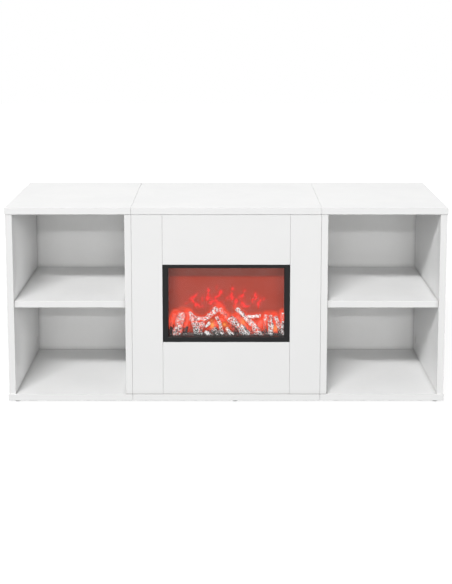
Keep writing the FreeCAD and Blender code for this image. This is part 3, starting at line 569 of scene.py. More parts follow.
def circuitFinish():
    look = circuitSettings
    material, tree, sockets, place = newFinish("circuitBoard")
    across = axesOf(tree, place)[0]
    turns = 2 * math.pi / look["trackPitch"]
    wander = times(tree, noise(tree, place, look["wanderScale"], detail=0.0), look["wander"])
    lines = maths(tree, "SINE", maths(tree, "ADD", times(tree, across, turns), wander))
    tracks = between(tree, lines, 0.1, 0.4)
    colour = mixColour(tree, tracks, look["mask"], look["track"])
    cells = addNode(tree, "ShaderNodeTexVoronoi", {"Vector": place, "Scale": look["padScale"]})
    pads = between(tree, cells.outputs["Distance"], 0.12, 0.18, 1.0, 0.0)
    tree.links.new(mixColour(tree, pads, colour, look["pad"]), sockets["Base Color"])
    tree.links.new(between(tree, pads, 0.2, 0.8, *look["gloss"]), sockets["Roughness"])
    bumped(tree, sockets, maths(tree, "ADD", tracks, pads), look["depth"])
    return material


# Lamp lenses: cloudy warm resin, lit.
lensSettings = {
    "resin": ((0.80, 0.62, 0.30), (0.86, 0.74, 0.46)),
    "light": ((1.0, 0.30, 0.06), (1.0, 0.45, 0.12)),
    "strength": 1.5,
    "cloudScale": 900.0,
    "depth": 0.02 * mm,
}


def lampFinish():
    look = lensSettings
    material, tree, sockets, place = newFinish("lampLens", roughness=0.3)
    cloud = noise(tree, place, look["cloudScale"])
    tree.links.new(mixColour(tree, cloud, *look["resin"]), sockets["Base Color"])
    tree.links.new(mixColour(tree, cloud, *look["light"]), sockets["Emission Color"])
    sockets["Emission Strength"].default_value = look["strength"]
    bumped(tree, sockets, cloud, look["depth"])
    return material


# Pane in front of the fire: clear, with a faint smear, and a mirror only where it is seen at a slant.
glassSettings = {
    "mirror": (0.93, 0.95, 0.94),
    "smear": (0.80, 0.80, 0.79),
    "smearScale": (14.0, 14.0, 30.0),
    "smearTurn": (0.0, 0.5, 0.0),
    "clear": (0.001, 0.012),
    "slantShare": 0.5,
    "gloss": (0.02, 0.09),
}


def glassFinish():
    look = glassSettings
    material, tree, sockets, place = newFinish("fireGlass", metallic=1.0)
    smear = noise(tree, stretched(tree, place, look["smearScale"], look["smearTurn"]), 1.0, detail=3.0)
    tree.links.new(mixColour(tree, smear, look["mirror"], look["smear"]), sockets["Base Color"])
    inward = addNode(tree, "ShaderNodeNewGeometry").outputs["Backfacing"]
    slant = addNode(tree, "ShaderNodeFresnel", {"IOR": 1.45}).outputs[0]
    slant = times(tree, slant, maths(tree, "SUBTRACT", 1.0, inward))
    film = between(tree, smear, 0.3, 0.75, *look["clear"])
    shown = maths(tree, "ADD", film, times(tree, slant, look["slantShare"]), clamp=True)
    tree.links.new(shown, sockets["Alpha"])
    tree.links.new(between(tree, smear, 0.3, 0.75, *look["gloss"]), sockets["Roughness"])
    return material


# Mesh helpers: rows of points become faces with whole index arrays. A tube is a closed shell.
def tubeFaces(rows, cols, first):
    # Points come as rows of a ring, then one point for each end.
    index = first + np.arange(rows * cols).reshape(rows, cols)
    onward = np.roll(index, -1, axis=1)
    quads = np.stack([index[:-1], index[1:], onward[1:], onward[:-1]], -1).reshape(-1, 4)
    startPole, endPole = first + rows * cols, first + rows * cols + 1
    startCap = np.stack([np.full(cols, startPole), index[0], onward[0]], -1)
    endCap = np.stack([np.full(cols, endPole), onward[-1], index[-1]], -1)
    return quads.tolist() + startCap.tolist() + endCap.tolist()


def newPiece(name, points, faces, material, body="cabinet", smooth=True):
    mesh = bpy.data.meshes.new(name)
    mesh.from_pydata(points.tolist(), [], faces)
    mesh.update()
    mesh.polygons.foreach_set("use_smooth", np.full(len(mesh.polygons), smooth))
    mesh.materials.append(material)
    piece = bpy.data.objects.new(name, mesh)
    bpy.context.scene.collection.objects.link(piece)
    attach(piece, body)
    return piece


def setFloats(piece, name, values):
    piece.data.attributes.new(name, "FLOAT", "POINT").data.foreach_set("value", values.astype(np.float32))


def setVectors(piece, name, values):
    target = piece.data.attributes.new(name, "FLOAT_VECTOR", "POINT").data
    target.foreach_set("vector", values.astype(np.float32).ravel())


def smoothLine(points, count):
    # A smooth line through points: between two of them it is the cubic whose slope at a point is half the
    # step from the point before to the point after.
    padded = np.vstack([2 * points[0] - points[1], points, 2 * points[-1] - points[-2]])
    at = np.linspace(0, len(points) - 1 - 1e-9, count)
    part = at.astype(int)
    t = (at - part)[:, None]
    before, start, end, after = (padded[part + step] for step in range(4))
    return 0.5 * (
        2 * start + (end - before) * t + (2 * before - 5 * start + 4 * end - after) * t ** 2
        + (3 * start - before - 3 * end + after) * t ** 3
    )


# Logs: a flattened ring of bark carried along each log's line, with cut ends.
logSettings = {
    "ring": 44,
    "step": 0.9 * mm,
    "leastRows": 8,
    "deepest": 5.7 * mm,
    "foot": 148.2 * mm,
    "bulge": (0.09, 0.06),
    "bulgeWave": (5.5 * mm, 2.3 * mm),
    "sway": 0.7 * mm,
    "swayWave": 4.1 * mm,
    "lobes": (0.05, 0.035),
    "lobeTwist": (60.0, -90.0),
    "bark": 0.55 * mm,
    "ridges": 5.5,
    "drift": (0.9, 0.5),
    "driftRate": (150.0, 410.0),
    "plateShare": 0.30,
    "plateRate": 900.0,
    "endSize": 0.80,
    "endReach": 2.0 * mm,
    "capShares": (0.78, 0.52, 0.24),
    "capLift": (0.35, 0.20, 0.45),
    "poleLift": 0.3 * mm,
    "patternSize": 1.4,
    "patternStep": 0.05,
    "cooling": 2.2,
    "edgeLoss": 0.14,
    "footLoss": 0.25,
    "footTop": 161.0 * mm,
    "crestShare": 0.22,
    "crestMiddle": 0.64,
}


def logRow(line, width, heat, ash):
    # A line is x and z in mm, a width mm. From a log's first end to its last, heat is how far the gaps in
    # the ash glow, and ash the share of the log that is white.
    return {"line": line, "width": width, "heat": heat, "ash": ash}


frontLogLines = (
    logRow(((-101, 206), (-108, 180), (-115, 152)), (15.2, 17.5), (0.62, 0.25), (0.64, 0.66)),
    logRow(((-82, 195), (-71, 181), (-64, 152)), (9.7, 17.1), (0.60, -0.30), (0.72, 0.62)),
    logRow(((-53, 183), (-61, 169), (-70, 152)), (10.1, 13.8), (0.60, -0.30), (0.66, 0.62)),
    logRow(((-23, 197), (-15, 182), (-13, 171), (-7, 152)), (6.0, 8.3), (0.55, 0.0), (0.84, 0.70)),
    logRow(((-31, 168), (-24, 161), (-17, 150)), (11.5, 14.8), (0.10, 0.0), (0.54, 0.58)),
    logRow(((-50, 160), (-36, 153)), (7.8, 7.4), (0.0, 0.0), (0.88, 0.86)),
    logRow(((7, 194), (28, 175), (51, 152)), (12.9, 15.2), (0.50, -0.20), (0.72, 0.76)),
    logRow(((0, 170), (15, 152)), (6.5, 7.8), (0.10, 0.0), (0.92, 0.88)),
    logRow(((57, 184), (64, 173), (72, 159), (72, 151)), (10.6, 15.2), (0.60, -0.10), (0.78, 0.80)),
    logRow(((68, 151), (76, 155), (83, 151)), (4.2, 4.2), (0.0, 0.0), (0.97, 0.97)),
    logRow(((102, 200), (102, 178), (103, 152)), (8.3, 12.5), (0.55, -0.15), (0.68, 0.72)),
    logRow(((113, 197), (122, 173), (126, 152)), (8.8, 9.2), (0.60, -0.25), (0.78, 0.45)),
    logRow(((132, 186), (128, 169), (130, 152)), (6.0, 7.4), (0.35, 0.0), (0.78, 0.80)),
    logRow(((-48, 172), (-38, 183)), (4.6, 6.0), (0.10, 0.10), (0.95, 0.95)),
    logRow(((-129, 157), (-124, 153)), (4.6, 5.2), (0.0, 0.0), (0.55, 0.60)),
    logRow(((-98, 156), (-91, 153)), (4.4, 5.0), (0.05, 0.0), (0.60, 0.62)),
    logRow(((-58, 153), (-55, 159)), (4.6, 4.0), (0.0, 0.0), (0.80, 0.85)),
    logRow(((21, 153), (28, 156)), (4.2, 4.8), (0.05, 0.05), (0.50, 0.55)),
    logRow(((88, 154), (95, 156)), (4.0, 4.6), (0.0, 0.0), (0.45, 0.60)),
    logRow(((112, 155), (118, 153)), (4.4, 4.8), (0.0, 0.0), (0.55, 0.60)),
)
rearLogLines = (
    logRow(((-117, 200), (-124, 184), (-129, 156)), (13.0, 11.6), (1.1, -0.35), (0.0, 0.24)),
    logRow(((-88, 203), (-91, 181), (-97, 151)), (10.7, 10.2), (1.1, -0.25), (0.02, 0.16)),
    logRow(
        ((-87, 204), (-77, 194), (-54, 187), (-37, 197), (-21, 214)), (9.0, 12.6), (0.60, 0.55), (0.68, 0.74)
    ),
    logRow(((-16, 212), (-1, 195), (24, 156)), (11.6, 10.2), (1.0, 0.10), (0.72, 0.0)),
    logRow(((-8, 187), (-27, 173), (-42, 151)), (9.7, 10.7), (1.1, -0.10), (0.0, 0.12)),
    logRow(((24, 213), (47, 188), (61, 175)), (9.4, 11.6), (0.45, 0.60), (0.82, 0.68)),
    logRow(((23, 193), (41, 173), (60, 151)), (11.6, 11.6), (1.1, 0.20), (0.0, 0.0)),
    logRow(((44, 193), (60, 194), (79, 195)), (6.4, 8.4), (0.50, 0.60), (0.86, 0.90)),
    logRow(((83, 183), (75, 170), (83, 150)), (10.7, 9.7), (1.1, -0.20), (0.42, 0.14)),
    logRow(((92, 198), (89, 173), (91, 150)), (7.9, 8.8), (0.95, -0.30), (0.70, 0.18)),
    logRow(((111, 195), (114, 172), (112, 150)), (9.3, 10.2), (1.1, 0.10), (0.0, 0.0)),
    logRow(((130, 203), (128, 181), (123, 151)), (8.8, 9.3), (0.95, -0.10), (0.68, 0.14)),
)
logLayers = (
    dict(name="frontLogs", node="front_logs", lines=frontLogLines, depth=-150.4 * mm, girth=1.24, seed=7),
    dict(name="rearLogs", node="rear_logs", lines=rearLogLines, depth=-139.0 * mm, girth=1.06, seed=53),
)
# Hottest places: x, z, reach in mm, and strength.
amberSpots = (
    (-33, 174, 5.0, 1.0), (-34, 182, 5.0, 0.6), (-4, 173, 5.5, 0.95),
    (2, 168, 5.0, 0.6), (112, 167, 6.0, 0.7), (39, 182, 7.0, 0.45),
)


def amberField(gridX, gridZ):
    # The most of the spots' bells: each falls off with the squared distance over its reach.
    spots = np.array(amberSpots)
    apart = np.hypot(gridX[..., None] - spots[:, 0] * mm, gridZ[..., None] - spots[:, 1] * mm)
    return (spots[:, 3] * np.exp(-(apart / (spots[:, 2] * mm)) ** 2)).max(axis=-1)


def logSurface(log, depth, girth, seed):
    # A log is a flattened ring carried along its line. Its radius is the tapered width, times slow lobes
    # round it (2 and 3 to a turn), plus ridges of bark: the folded sine of a turn that drifts along the log.
    look = logSettings
    phase = np.random.default_rng(seed).uniform(0, 2 * np.pi, 8)
    corner = np.array(log["line"], float) * mm
    length = np.linalg.norm(np.diff(corner, axis=0), axis=1).sum()
    rows = max(int(length / look["step"]), look["leastRows"])
    middle = smoothLine(corner, rows)
    slope = np.gradient(middle, axis=0)
    slope /= np.linalg.norm(slope, axis=1)[:, None]
    along = np.linspace(0, length, rows)[:, None]
    turn = np.linspace(0, 2 * np.pi, look["ring"], endpoint=False)[None]

    def wave(name, rates, angles):
        # two sines along the log, each with its own height and rate
        first, second = look[name]
        return first * np.sin(rates[0] * along + angles[0]) + second * np.sin(rates[1] * along + angles[1])

    wide = girth * np.linspace(*log["width"], rows)[:, None] / 2 * mm
    wide = wide * (1 + wave("bulge", 1 / np.array(look["bulgeWave"]), phase[[7, 3]]))
    sway = look["sway"] * np.sin(along / look["swayWave"] + phase[1]) * np.sin(np.pi * along / length)
    lobes = 1 + wave("lobes", look["lobeTwist"], (2 * turn + phase[0], 3 * turn + phase[1]))
    folded = np.minimum(turn, 2 * np.pi - turn)
    drift = wave("drift", look["driftRate"], phase[[2, 3]])
    ridges = np.abs(np.sin(look["ridges"] * (folded + phase[4]) + drift))
    plates = np.sin(look["plateRate"] * along + 3 * np.sin(2 * turn + phase[5]) + phase[6])
    plates = plates * np.sin(4 * turn + phase[7])
    relief = look["bark"] * (ridges - 1.0 + look["plateShare"] * plates)
    toEnd = np.clip(np.minimum(along, length - along) / look["endReach"], 0, 1)
    swell = look["endSize"] + (1 - look["endSize"]) * toEnd ** 0.5
    wideFit = (wide * lobes + relief) * swell
    deepFit = np.minimum(np.minimum(wide, look["deepest"]) * lobes + relief, look["deepest"]) * swell
    frontWay = np.array([0.0, -1.0, 0.0])
    sideWay = np.stack([-slope[:, 1], np.zeros(rows), slope[:, 0]], 1)
    centre = np.stack([middle[:, 0], np.full(rows, depth), middle[:, 1]], 1) + sway * sideWay
    forward = (deepFit * np.cos(turn))[..., None] * frontWay
    sideways = (wideFit * np.sin(turn))[..., None] * sideWay[:, None]
    points = centre[:, None] + (forward + sideways)
    # cut ends: more rings draw in to a point, in shallow steps like growth rings
    axis = np.stack([slope[:, 0], np.zeros(rows), slope[:, 1]], 1)
    shares = np.array(look["capShares"])[:, None, None]
    lift = np.array(look["capLift"])[:, None, None] * mm
    startRings = centre[0] + shares * (points[0] - centre[0]) - lift * axis[0]
    endRings = centre[-1] + shares * (points[-1] - centre[-1]) + lift * axis[-1]
    grid = np.concatenate([startRings[::-1], points, endRings])
    poles = np.stack([centre[0] - look["poleLift"] * axis[0], centre[-1] + look["poleLift"] * axis[-1]])
    grid[..., 2] = np.maximum(grid[..., 2], look["foot"])
    poles[:, 2] = np.maximum(poles[:, 2], look["foot"])
    caps = len(look["capShares"])
    place = np.zeros(grid.shape)
    place[..., 0] = np.sin(turn) * wide.mean() * look["patternSize"]
    place[..., 1] = np.pad(along[:, 0], caps, mode="edge")[:, None]
    place[..., 2] = np.cos(turn) * wide.mean() * look["patternSize"] + look["patternStep"] * seed
    return grid, poles, place, logShares(log, place[..., 1] / length, turn, grid[..., 2], ridges, caps)


def logShares(log, share, turn, height, ridges, caps):
    # Warmth and ash run from end to end, warmth by a power. Ash thins towards the sides and the foot, and is
    # thicker on the crests of the bark.
    look = logSettings
    warmStart, warmEnd = log["heat"]
    ashStart, ashEnd = log["ash"]
    warmth = np.clip(warmStart + (warmEnd - warmStart) * share ** look["cooling"], 0, 1)
    sunk = np.clip((look["footTop"] - height) / (look["footTop"] - look["foot"]), 0, 1)
    white = ashStart + (ashEnd - ashStart) * share
    white = white - look["edgeLoss"] * np.sin(turn) ** 4 - look["footLoss"] * sunk
    crest = np.pad(ridges, ((caps, caps), (0, 0)), mode="edge")
    return warmth, white + look["crestShare"] * (crest - look["crestMiddle"]) * white


def makeLogs(material, name, node, lines, depth, girth, seed):
    points, faces, places, heats, whites, count = [], [], [], [], [], 0
    for number, log in enumerate(lines):
        grid, poles, place, (warmth, white) = logSurface(log, depth, girth, seed + number)
        rows, cols = grid.shape[:2]
        faces += tubeFaces(rows, cols, count)
        points += [grid.reshape(-1, 3), poles]
        places += [place.reshape(-1, 3), place[[0, -1], 0]]
        heats += [warmth.ravel(), warmth[[0, -1], 0]]
        whites += [white.ravel(), white[[0, -1], 0]]
        count += rows * cols + 2
    points = np.vstack(points)
    piece = newPiece(name, points, faces, material)
    setVectors(piece, "barkPlace", np.vstack(places))
    setFloats(piece, "logWarmth", np.concatenate(heats))
    setFloats(piece, "ashShare", np.concatenate(whites))
    setFloats(piece, "amberShare", amberField(points[:, 0], points[:, 2]))
    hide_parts(node)


# Log finish: veins and flakes of white ash over char, with embers glowing in the gaps where the log is hot.
logFinishSettings = {
    "ash": (0.790, 0.785, 0.780),
    "greyAsh": (0.555, 0.547, 0.538),
    "char": (0.049, 0.047, 0.046),
    "ember": (1.0, 0.070, 0.022),
    "dullEmber": (0.62, 0.036, 0.020),
    "amber": (1.0, 0.36, 0.045),
    "throughGlow": (0.10, 0.055, 0.045),
    "stretch": (1.0, 1.15, 1.0),
    "veinScale": 145.0,
    "veinDepth": 2.2,
    "mottleScale": 300.0,
    "mottle": 0.5,
    "spread": 0.40,
    "middle": 0.422,
    "border": 0.018,
    "flakeScale": 520.0,
    "flakeShare": 0.90,
    "toneScale": 420.0,
    "dullScale": 190.0,
    "patchScale": 150.0,
    "patchy": 1.6,
    "gloss": (0.62, 0.88),
    "ashDepth": 0.25 * mm,
}


def attribute(tree, name, output="Fac"):
    node = addNode(tree, "ShaderNodeAttribute", attribute_name=name, attribute_type="GEOMETRY")
    return node.outputs[output]


def ashMask(tree, bark):
    # ash is thickest along veins, where a slow noise passes its middle level, and falls off in flakes
    look = logFinishSettings
    veins = noise(tree, bark, look["veinScale"], roughness=0.6)
    offVein = maths(tree, "ABSOLUTE", maths(tree, "SUBTRACT", veins, 0.5))
    mottle = noise(tree, bark, look["mottleScale"], detail=3.0, roughness=0.7)
    level = times(tree, mottle, look["mottle"])
    level = maths(tree, "SUBTRACT", level, times(tree, offVein, look["veinDepth"]))
    level = maths(tree, "ADD", level, times(tree, attribute(tree, "ashShare"), look["spread"]))
    level = maths(tree, "SUBTRACT", level, look["middle"])
    flake = useGroup(tree, flakes, {"Place": bark, "Scale": look["flakeScale"], "Share": look["flakeShare"]})
    return times(tree, between(tree, level, -look["border"], look["border"]), flake["Mask"])


def logFinish():
    look = logFinishSettings
    material, tree, sockets, _ = newFinish("charredLog", specular=0.2)
    bark = stretched(tree, attribute(tree, "barkPlace", "Vector"), look["stretch"])
    heat = attribute(tree, "logWarmth")
    hottest = attribute(tree, "amberShare")
    white = ashMask(tree, bark)
    tone = between(tree, noise(tree, bark, look["toneScale"], detail=3.0), 0.46, 0.76)
    ashColour = mixColour(tree, tone, look["ash"], look["greyAsh"])
    tree.links.new(mixColour(tree, white, look["char"], ashColour), sockets["Base Color"])
    dull = between(tree, noise(tree, bark, look["dullScale"]), 0.46, 0.66)
    fire = mixColour(tree, dull, look["ember"], look["dullEmber"])
    fire = mixColour(tree, hottest, fire, look["amber"])
    patches = maths(tree, "SUBTRACT", noise(tree, bark, look["patchScale"]), 0.5)
    warm = maths(tree, "ADD", maths(tree, "ADD", heat, times(tree, patches, look["patchy"])), hottest)
    gap = mixColour(tree, between(tree, warm, 0.12, 0.80), unlit, fire)
    warmAsh = mixColour(tree, heat, unlit, look["throughGlow"])
    tree.links.new(mixColour(tree, white, gap, warmAsh), sockets["Emission Color"])
    sockets["Emission Strength"].default_value = 1.0
    tree.links.new(between(tree, white, 0.0, 1.0, *look["gloss"]), sockets["Roughness"])
    bumped(tree, sockets, white, look["ashDepth"], 0.8)
    return material


# Ember bed: a tray's outline carried from left to right, its top raised by coals.
bedSettings = {
    "halfWidth": 132.5 * mm,
    "front": -156.0 * mm,
    "back": -133.5 * mm,
    "bottom": 147.0 * mm,
    "top": 152.6 * mm,
    "coalSize": 8.5 * mm,
    "coalHeight": 3.6 * mm,
    "coalRows": 3,
    "crowding": 1.15,
    "sideDraw": (0.1, 0.6),
    "depthDraw": (0.2, 0.8),
    "tallDraw": (0.55, 1.0),
    "domeRise": 1.15,
    "domeReach": 0.85,
    "domeCap": 0.9,
    "crackWidth": 1.6 * mm,
    "rimWidth": 1.5 * mm,
    "frontDrop": 4.4 * mm,
    "frontSlope": 8.0 * mm,
    "frontLoss": 0.7,
    "stations": 420,
    "across": 44,
    "seed": 41,
}


def makeBed(material):
    # Height of the top: each point takes the dome of its nearest coal, which is its rise minus the squared
    # distance over its reach, flattened by a cap, and falls to a crack where two coals are equally near.
    # Towards the front the whole top drops by a squared share.
    look = bedSettings
    draw = np.random.default_rng(look["seed"])
    front, back, half, rimWidth = look["front"], look["back"], look["halfWidth"], look["rimWidth"]
    count = int(2 * half / look["coalSize"] * look["crowding"]), look["coalRows"]
    column, row = np.meshgrid(np.arange(count[0]), np.arange(count[1]), indexing="ij")
    seeds = np.stack([
        ((column + 0.5 * (row % 2) + draw.uniform(*look["sideDraw"], count)) / count[0] - 0.5) * 2 * half,
        front + (row + draw.uniform(*look["depthDraw"], count)) / count[1] * (back - front),
    ], -1).reshape(-1, 2)
    tall = draw.uniform(*look["tallDraw"], len(seeds))
    station = np.linspace(-half, half, look["stations"])
    gridX, gridY = np.meshgrid(station, np.linspace(front, back, look["across"]), indexing="ij")
    apart = np.hypot(gridX[..., None] - seeds[:, 0], gridY[..., None] - seeds[:, 1])
    order = np.argsort(apart, axis=-1)[..., :2]
    near, second = (np.take_along_axis(apart, order[..., k:k + 1], -1)[..., 0] for k in (0, 1))
    dome = look["domeRise"] - (near / (look["domeReach"] * look["coalSize"])) ** 2
    dome = np.clip(dome, 0, look["domeCap"]) * tall[order[..., 0]]
    crack = np.clip((second - near) / look["crackWidth"], 0, 1)
    rim = np.clip(np.minimum(gridY - front, back - gridY) / rimWidth, 0, 1)
    rim = rim * np.clip((half - np.abs(gridX)) / rimWidth, 0, 1)
    falling = np.clip(1 - (gridY - front) / look["frontSlope"], 0, 1)
    rim = rim * (1 - look["frontLoss"] * falling)
    top = look["top"] - look["frontDrop"] * falling ** 2 + look["coalHeight"] * dome * crack ** 0.5 * rim
    backFoot, frontFoot = (
        np.stack([station, np.full_like(station, depth), np.full_like(station, look["bottom"])], -1)[:, None]
        for depth in (back, front)
    )
    grid = np.concatenate([np.stack([gridX, gridY, top], -1), backFoot, frontFoot], axis=1)
    points = np.vstack([grid.reshape(-1, 3), grid[[0, -1]].mean(axis=1)])
    piece = newPiece("emberBed", points, tubeFaces(*grid.shape[:2], 0), material, smooth=False)
    ember = np.zeros(grid.shape[:2])
    ember[:, : look["across"]] = (1 - crack) * rim
    setFloats(piece, "ember", np.concatenate([ember.ravel(), np.zeros(2)]))
    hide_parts("ember_bed")


bedFinishSettings = {
    "coal": (0.055, 0.053, 0.052),
    "ash": (0.34, 0.33, 0.32),
    "leastAsh": 0.15,
    "dustScale": 420.0,
    "fleckScale": 520.0,
    "fleckShare": 0.35,
    "fleckDepth": 0.2 * mm,
    "ember": (1.0, 0.12, 0.03),
    "emberScale": 45.0,
    "glow": 0.55,
}


def bedFinish():
    look = bedFinishSettings
    material, tree, sockets, place = newFinish("emberCoals", roughness=0.8)
    dust = useGroup(tree, settledDust, {"Place": place, "Scale": look["dustScale"]})
    fleck = useGroup(tree, flakes, {"Place": place, "Scale": look["fleckScale"], "Share": look["fleckShare"]})
    pale = times(tree, maths(tree, "ADD", dust["Mask"], look["leastAsh"]), fleck["Mask"])
    tree.links.new(mixColour(tree, pale, look["coal"], look["ash"]), sockets["Base Color"])
    hot = between(tree, noise(tree, place, look["emberScale"]), 0.42, 0.66)
    glow = times(tree, attribute(tree, "ember"), hot)
    tree.links.new(mixColour(tree, glow, unlit, look["ember"]), sockets["Emission Color"])
    sockets["Emission Strength"].default_value = look["glow"]
    bumped(tree, sockets, fleck["Mask"], look["fleckDepth"], 0.7)
    return material


# Flame screen. A tongue is a smooth line through points: x, z, reach in mm, and strength.
screenSettings = {
    "front": -133.0 * mm,
    "thickness": 3.0 * mm,
    "half": 139.7 * mm,
    "low": 147.0 * mm,
    "high": 319.7 * mm,
    "columns": 236,
    "rows": 146,
    "fullest": 0.98,
    "halo": 0.20,
    "haloSpread": 2.8,
    "pathPoints": 40,
    "logGlow": 0.74,
    "logGlowReach": 4.5 * mm,
    "logGlowPoints": 36,
    "glowFoot": (151 * mm, 170 * mm, 0.12),
}
flameTongues = (
    ((-54, 217, 2.9, 0.75), (-69, 219, 4.1, 0.95), (-75, 227, 2.6, 0.85),
     (-79, 235, 2.8, 0.80), (-73, 240, 2.3, 0.70), (-65, 248, 2.5, 0.30)),
    ((-59, 231, 2.5, 0.40), (-57, 234, 3.8, 0.60), (-54, 237, 2.1, 0.35)),
    ((-43, 233, 2.8, 0.85), (-42, 240, 3.8, 1.00), (-41, 247, 2.3, 0.70),
     (-41, 255, 2.6, 0.90), (-42, 260, 1.3, 0.40)),
    ((-37, 217, 2.0, 0.60), (-35, 227, 3.8, 1.00), (-24, 236, 4.1, 1.00),
     (-16, 243, 2.5, 0.80), (-13, 250, 3.4, 0.95), (-12, 254, 1.6, 0.40)),
    ((-21, 230, 2.8, 0.75), (-14, 220, 4.6, 1.00), (-7, 215, 3.4, 0.85)),
    ((-26, 217, 2.5, 0.60), (-19, 219, 3.3, 0.80)),
    ((14, 233, 2.8, 0.80), (13, 240, 3.9, 1.00), (13, 249, 2.0, 0.60),
     (15, 257, 2.8, 0.95), (13, 260, 1.3, 0.35)),
    ((20, 215, 2.3, 0.60), (20, 225, 3.8, 1.00), (29, 234, 3.8, 0.95),
     (36, 240, 3.4, 0.95), (40, 247, 2.0, 0.50), (43, 251, 3.1, 0.80)),
    ((36, 226, 2.5, 0.50), (40, 219, 4.7, 1.00), (48, 217, 2.9, 0.70), (55, 218, 2.3, 0.20)),
    ((61, 226, 2.0, 0.40), (62, 233, 3.3, 0.70), (68, 238, 3.4, 1.00),
     (67, 245, 2.5, 0.80), (67, 249, 1.3, 0.30)),
    ((74, 213, 1.5, 0.40), (74, 224, 3.3, 0.95), (77, 231, 3.3, 1.00), (80, 237, 1.6, 0.40)),
    ((86, 230, 1.6, 0.30), (87, 234, 2.0, 0.45), (87, 238, 1.3, 0.25)),
    ((-95, 222, 2.8, 0.25), (-88, 227, 3.1, 0.45), (-81, 235, 2.1, 0.50)),
    ((-22, 260, 2.5, 0.25), (-21, 265, 2.1, 0.20)),
    ((40, 260, 2.8, 0.22), (42, 264, 2.1, 0.15)),
    ((0, 232, 3.3, 0.25), (3, 236, 3.6, 0.35)),
)


def tongueField(gridX, gridZ, tongue, spread=1.0):
    # Along the tongue's smooth line, strength times a bell of the distance over the reach there. The most of
    # these counts.
    path = smoothLine(np.array(tongue, float), screenSettings["pathPoints"])
    apart = np.hypot(gridX[..., None] - path[:, 0] * mm, gridZ[..., None] - path[:, 1] * mm)
    return (path[:, 3] * np.exp(-(apart / (spread * path[:, 2] * mm)) ** 2)).max(axis=-1)


def logGlowField(gridX, gridZ, log):
    # 1 behind the log, and a bell of the distance from its edge round it.
    look = screenSettings
    path = smoothLine(np.array(log["line"], float) * mm, look["logGlowPoints"])
    core = np.linspace(*log["width"], look["logGlowPoints"]) / 2 * mm
    apart = np.hypot(gridX[..., None] - path[:, 0], gridZ[..., None] - path[:, 1]) - core
    return np.exp(-(np.maximum(apart, 0) / look["logGlowReach"]) ** 2).max(axis=-1)


def joined(fields):
    # shares that add up as separate lights do: what each leaves dark is multiplied
    return 1 - np.prod([1 - field for field in fields], axis=0)


def makeScreen(material):
    # A flat grid, x across and z up, made a plate by a modifier. Its points carry the shares of flame and
    # glow.
    look = screenSettings
    across = np.linspace(-look["half"], look["half"], look["columns"])
    upward = np.linspace(look["low"], look["high"], look["rows"])
    gridX, gridZ = np.meshgrid(across, upward)
    points = np.stack([gridX, np.full_like(gridX, look["front"]), gridZ], -1).reshape(-1, 3)
    index = np.arange(gridX.size).reshape(gridX.shape)
    faces = np.stack([index[:-1, :-1], index[:-1, 1:], index[1:, 1:], index[1:, :-1]], -1).reshape(-1, 4)
    piece = newPiece("flameScreen", points, faces.tolist(), material)
    tongues = [tongueField(gridX, gridZ, tongue) for tongue in flameTongues]
    halos = [look["halo"] * tongueField(gridX, gridZ, tongue, look["haloSpread"]) for tongue in flameTongues]
    flame = joined([np.clip(field, 0, look["fullest"]) for field in tongues + halos])
    glow = joined([
        look["logGlow"] * max(log["heat"]) * logGlowField(gridX, gridZ, log)
        for log in rearLogLines + frontLogLines
    ])
    low, high, least = look["glowFoot"]
    glow = glow * (least + (1 - least) * np.clip((gridZ - low) / (high - low), 0, 1))
    setFloats(piece, "tongueShare", flame.ravel())
    setFloats(piece, "glowShare", glow.ravel())
    setFloats(piece, "amberShare", amberField(gridX, gridZ).ravel())
    solid = piece.modifiers.new("plate", "SOLIDIFY")
    solid.thickness = look["thickness"]
    solid.offset = -1.0
    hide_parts("flame_screen")


# Screen finish: dark film, lit red from behind, with painted shade at its top and sides, and darker at its
# foot.
screenFinishSettings = {
    "film": (0.0170, 0.0155, 0.0140),
    "darker": 0.85,
    "backlight": (0.396, 0.036, 0.016),
    # painted shade at the top of the screen
    "topShade": (0.205, 0.040, 0.027),
    "dimFoot": (0.060, 0.020, 0.016),
    "flame": (0.96, 0.017, 0.013),
    "logGlow": (0.97, 0.058, 0.016),
    "amber": (1.0, 0.36, 0.045),
    "topEdge": (283 * mm, 291 * mm),
    "footEdge": (149 * mm, 166 * mm),
    "sideEdge": (100 * mm, 133 * mm),
    # painted shade at the left and right sides of the screen
    "leftShadeShare": 0.54,
    "rightShadeShare": 0.74,
    "uneven": (0.94, 1.06),
    "raggedScale": 170.0,
    "ragged": (0.30, 1.55),
    "grainScale": 800.0,
    "grainDepth": 0.02 * mm,
    "mottleScale": 38.0,
}


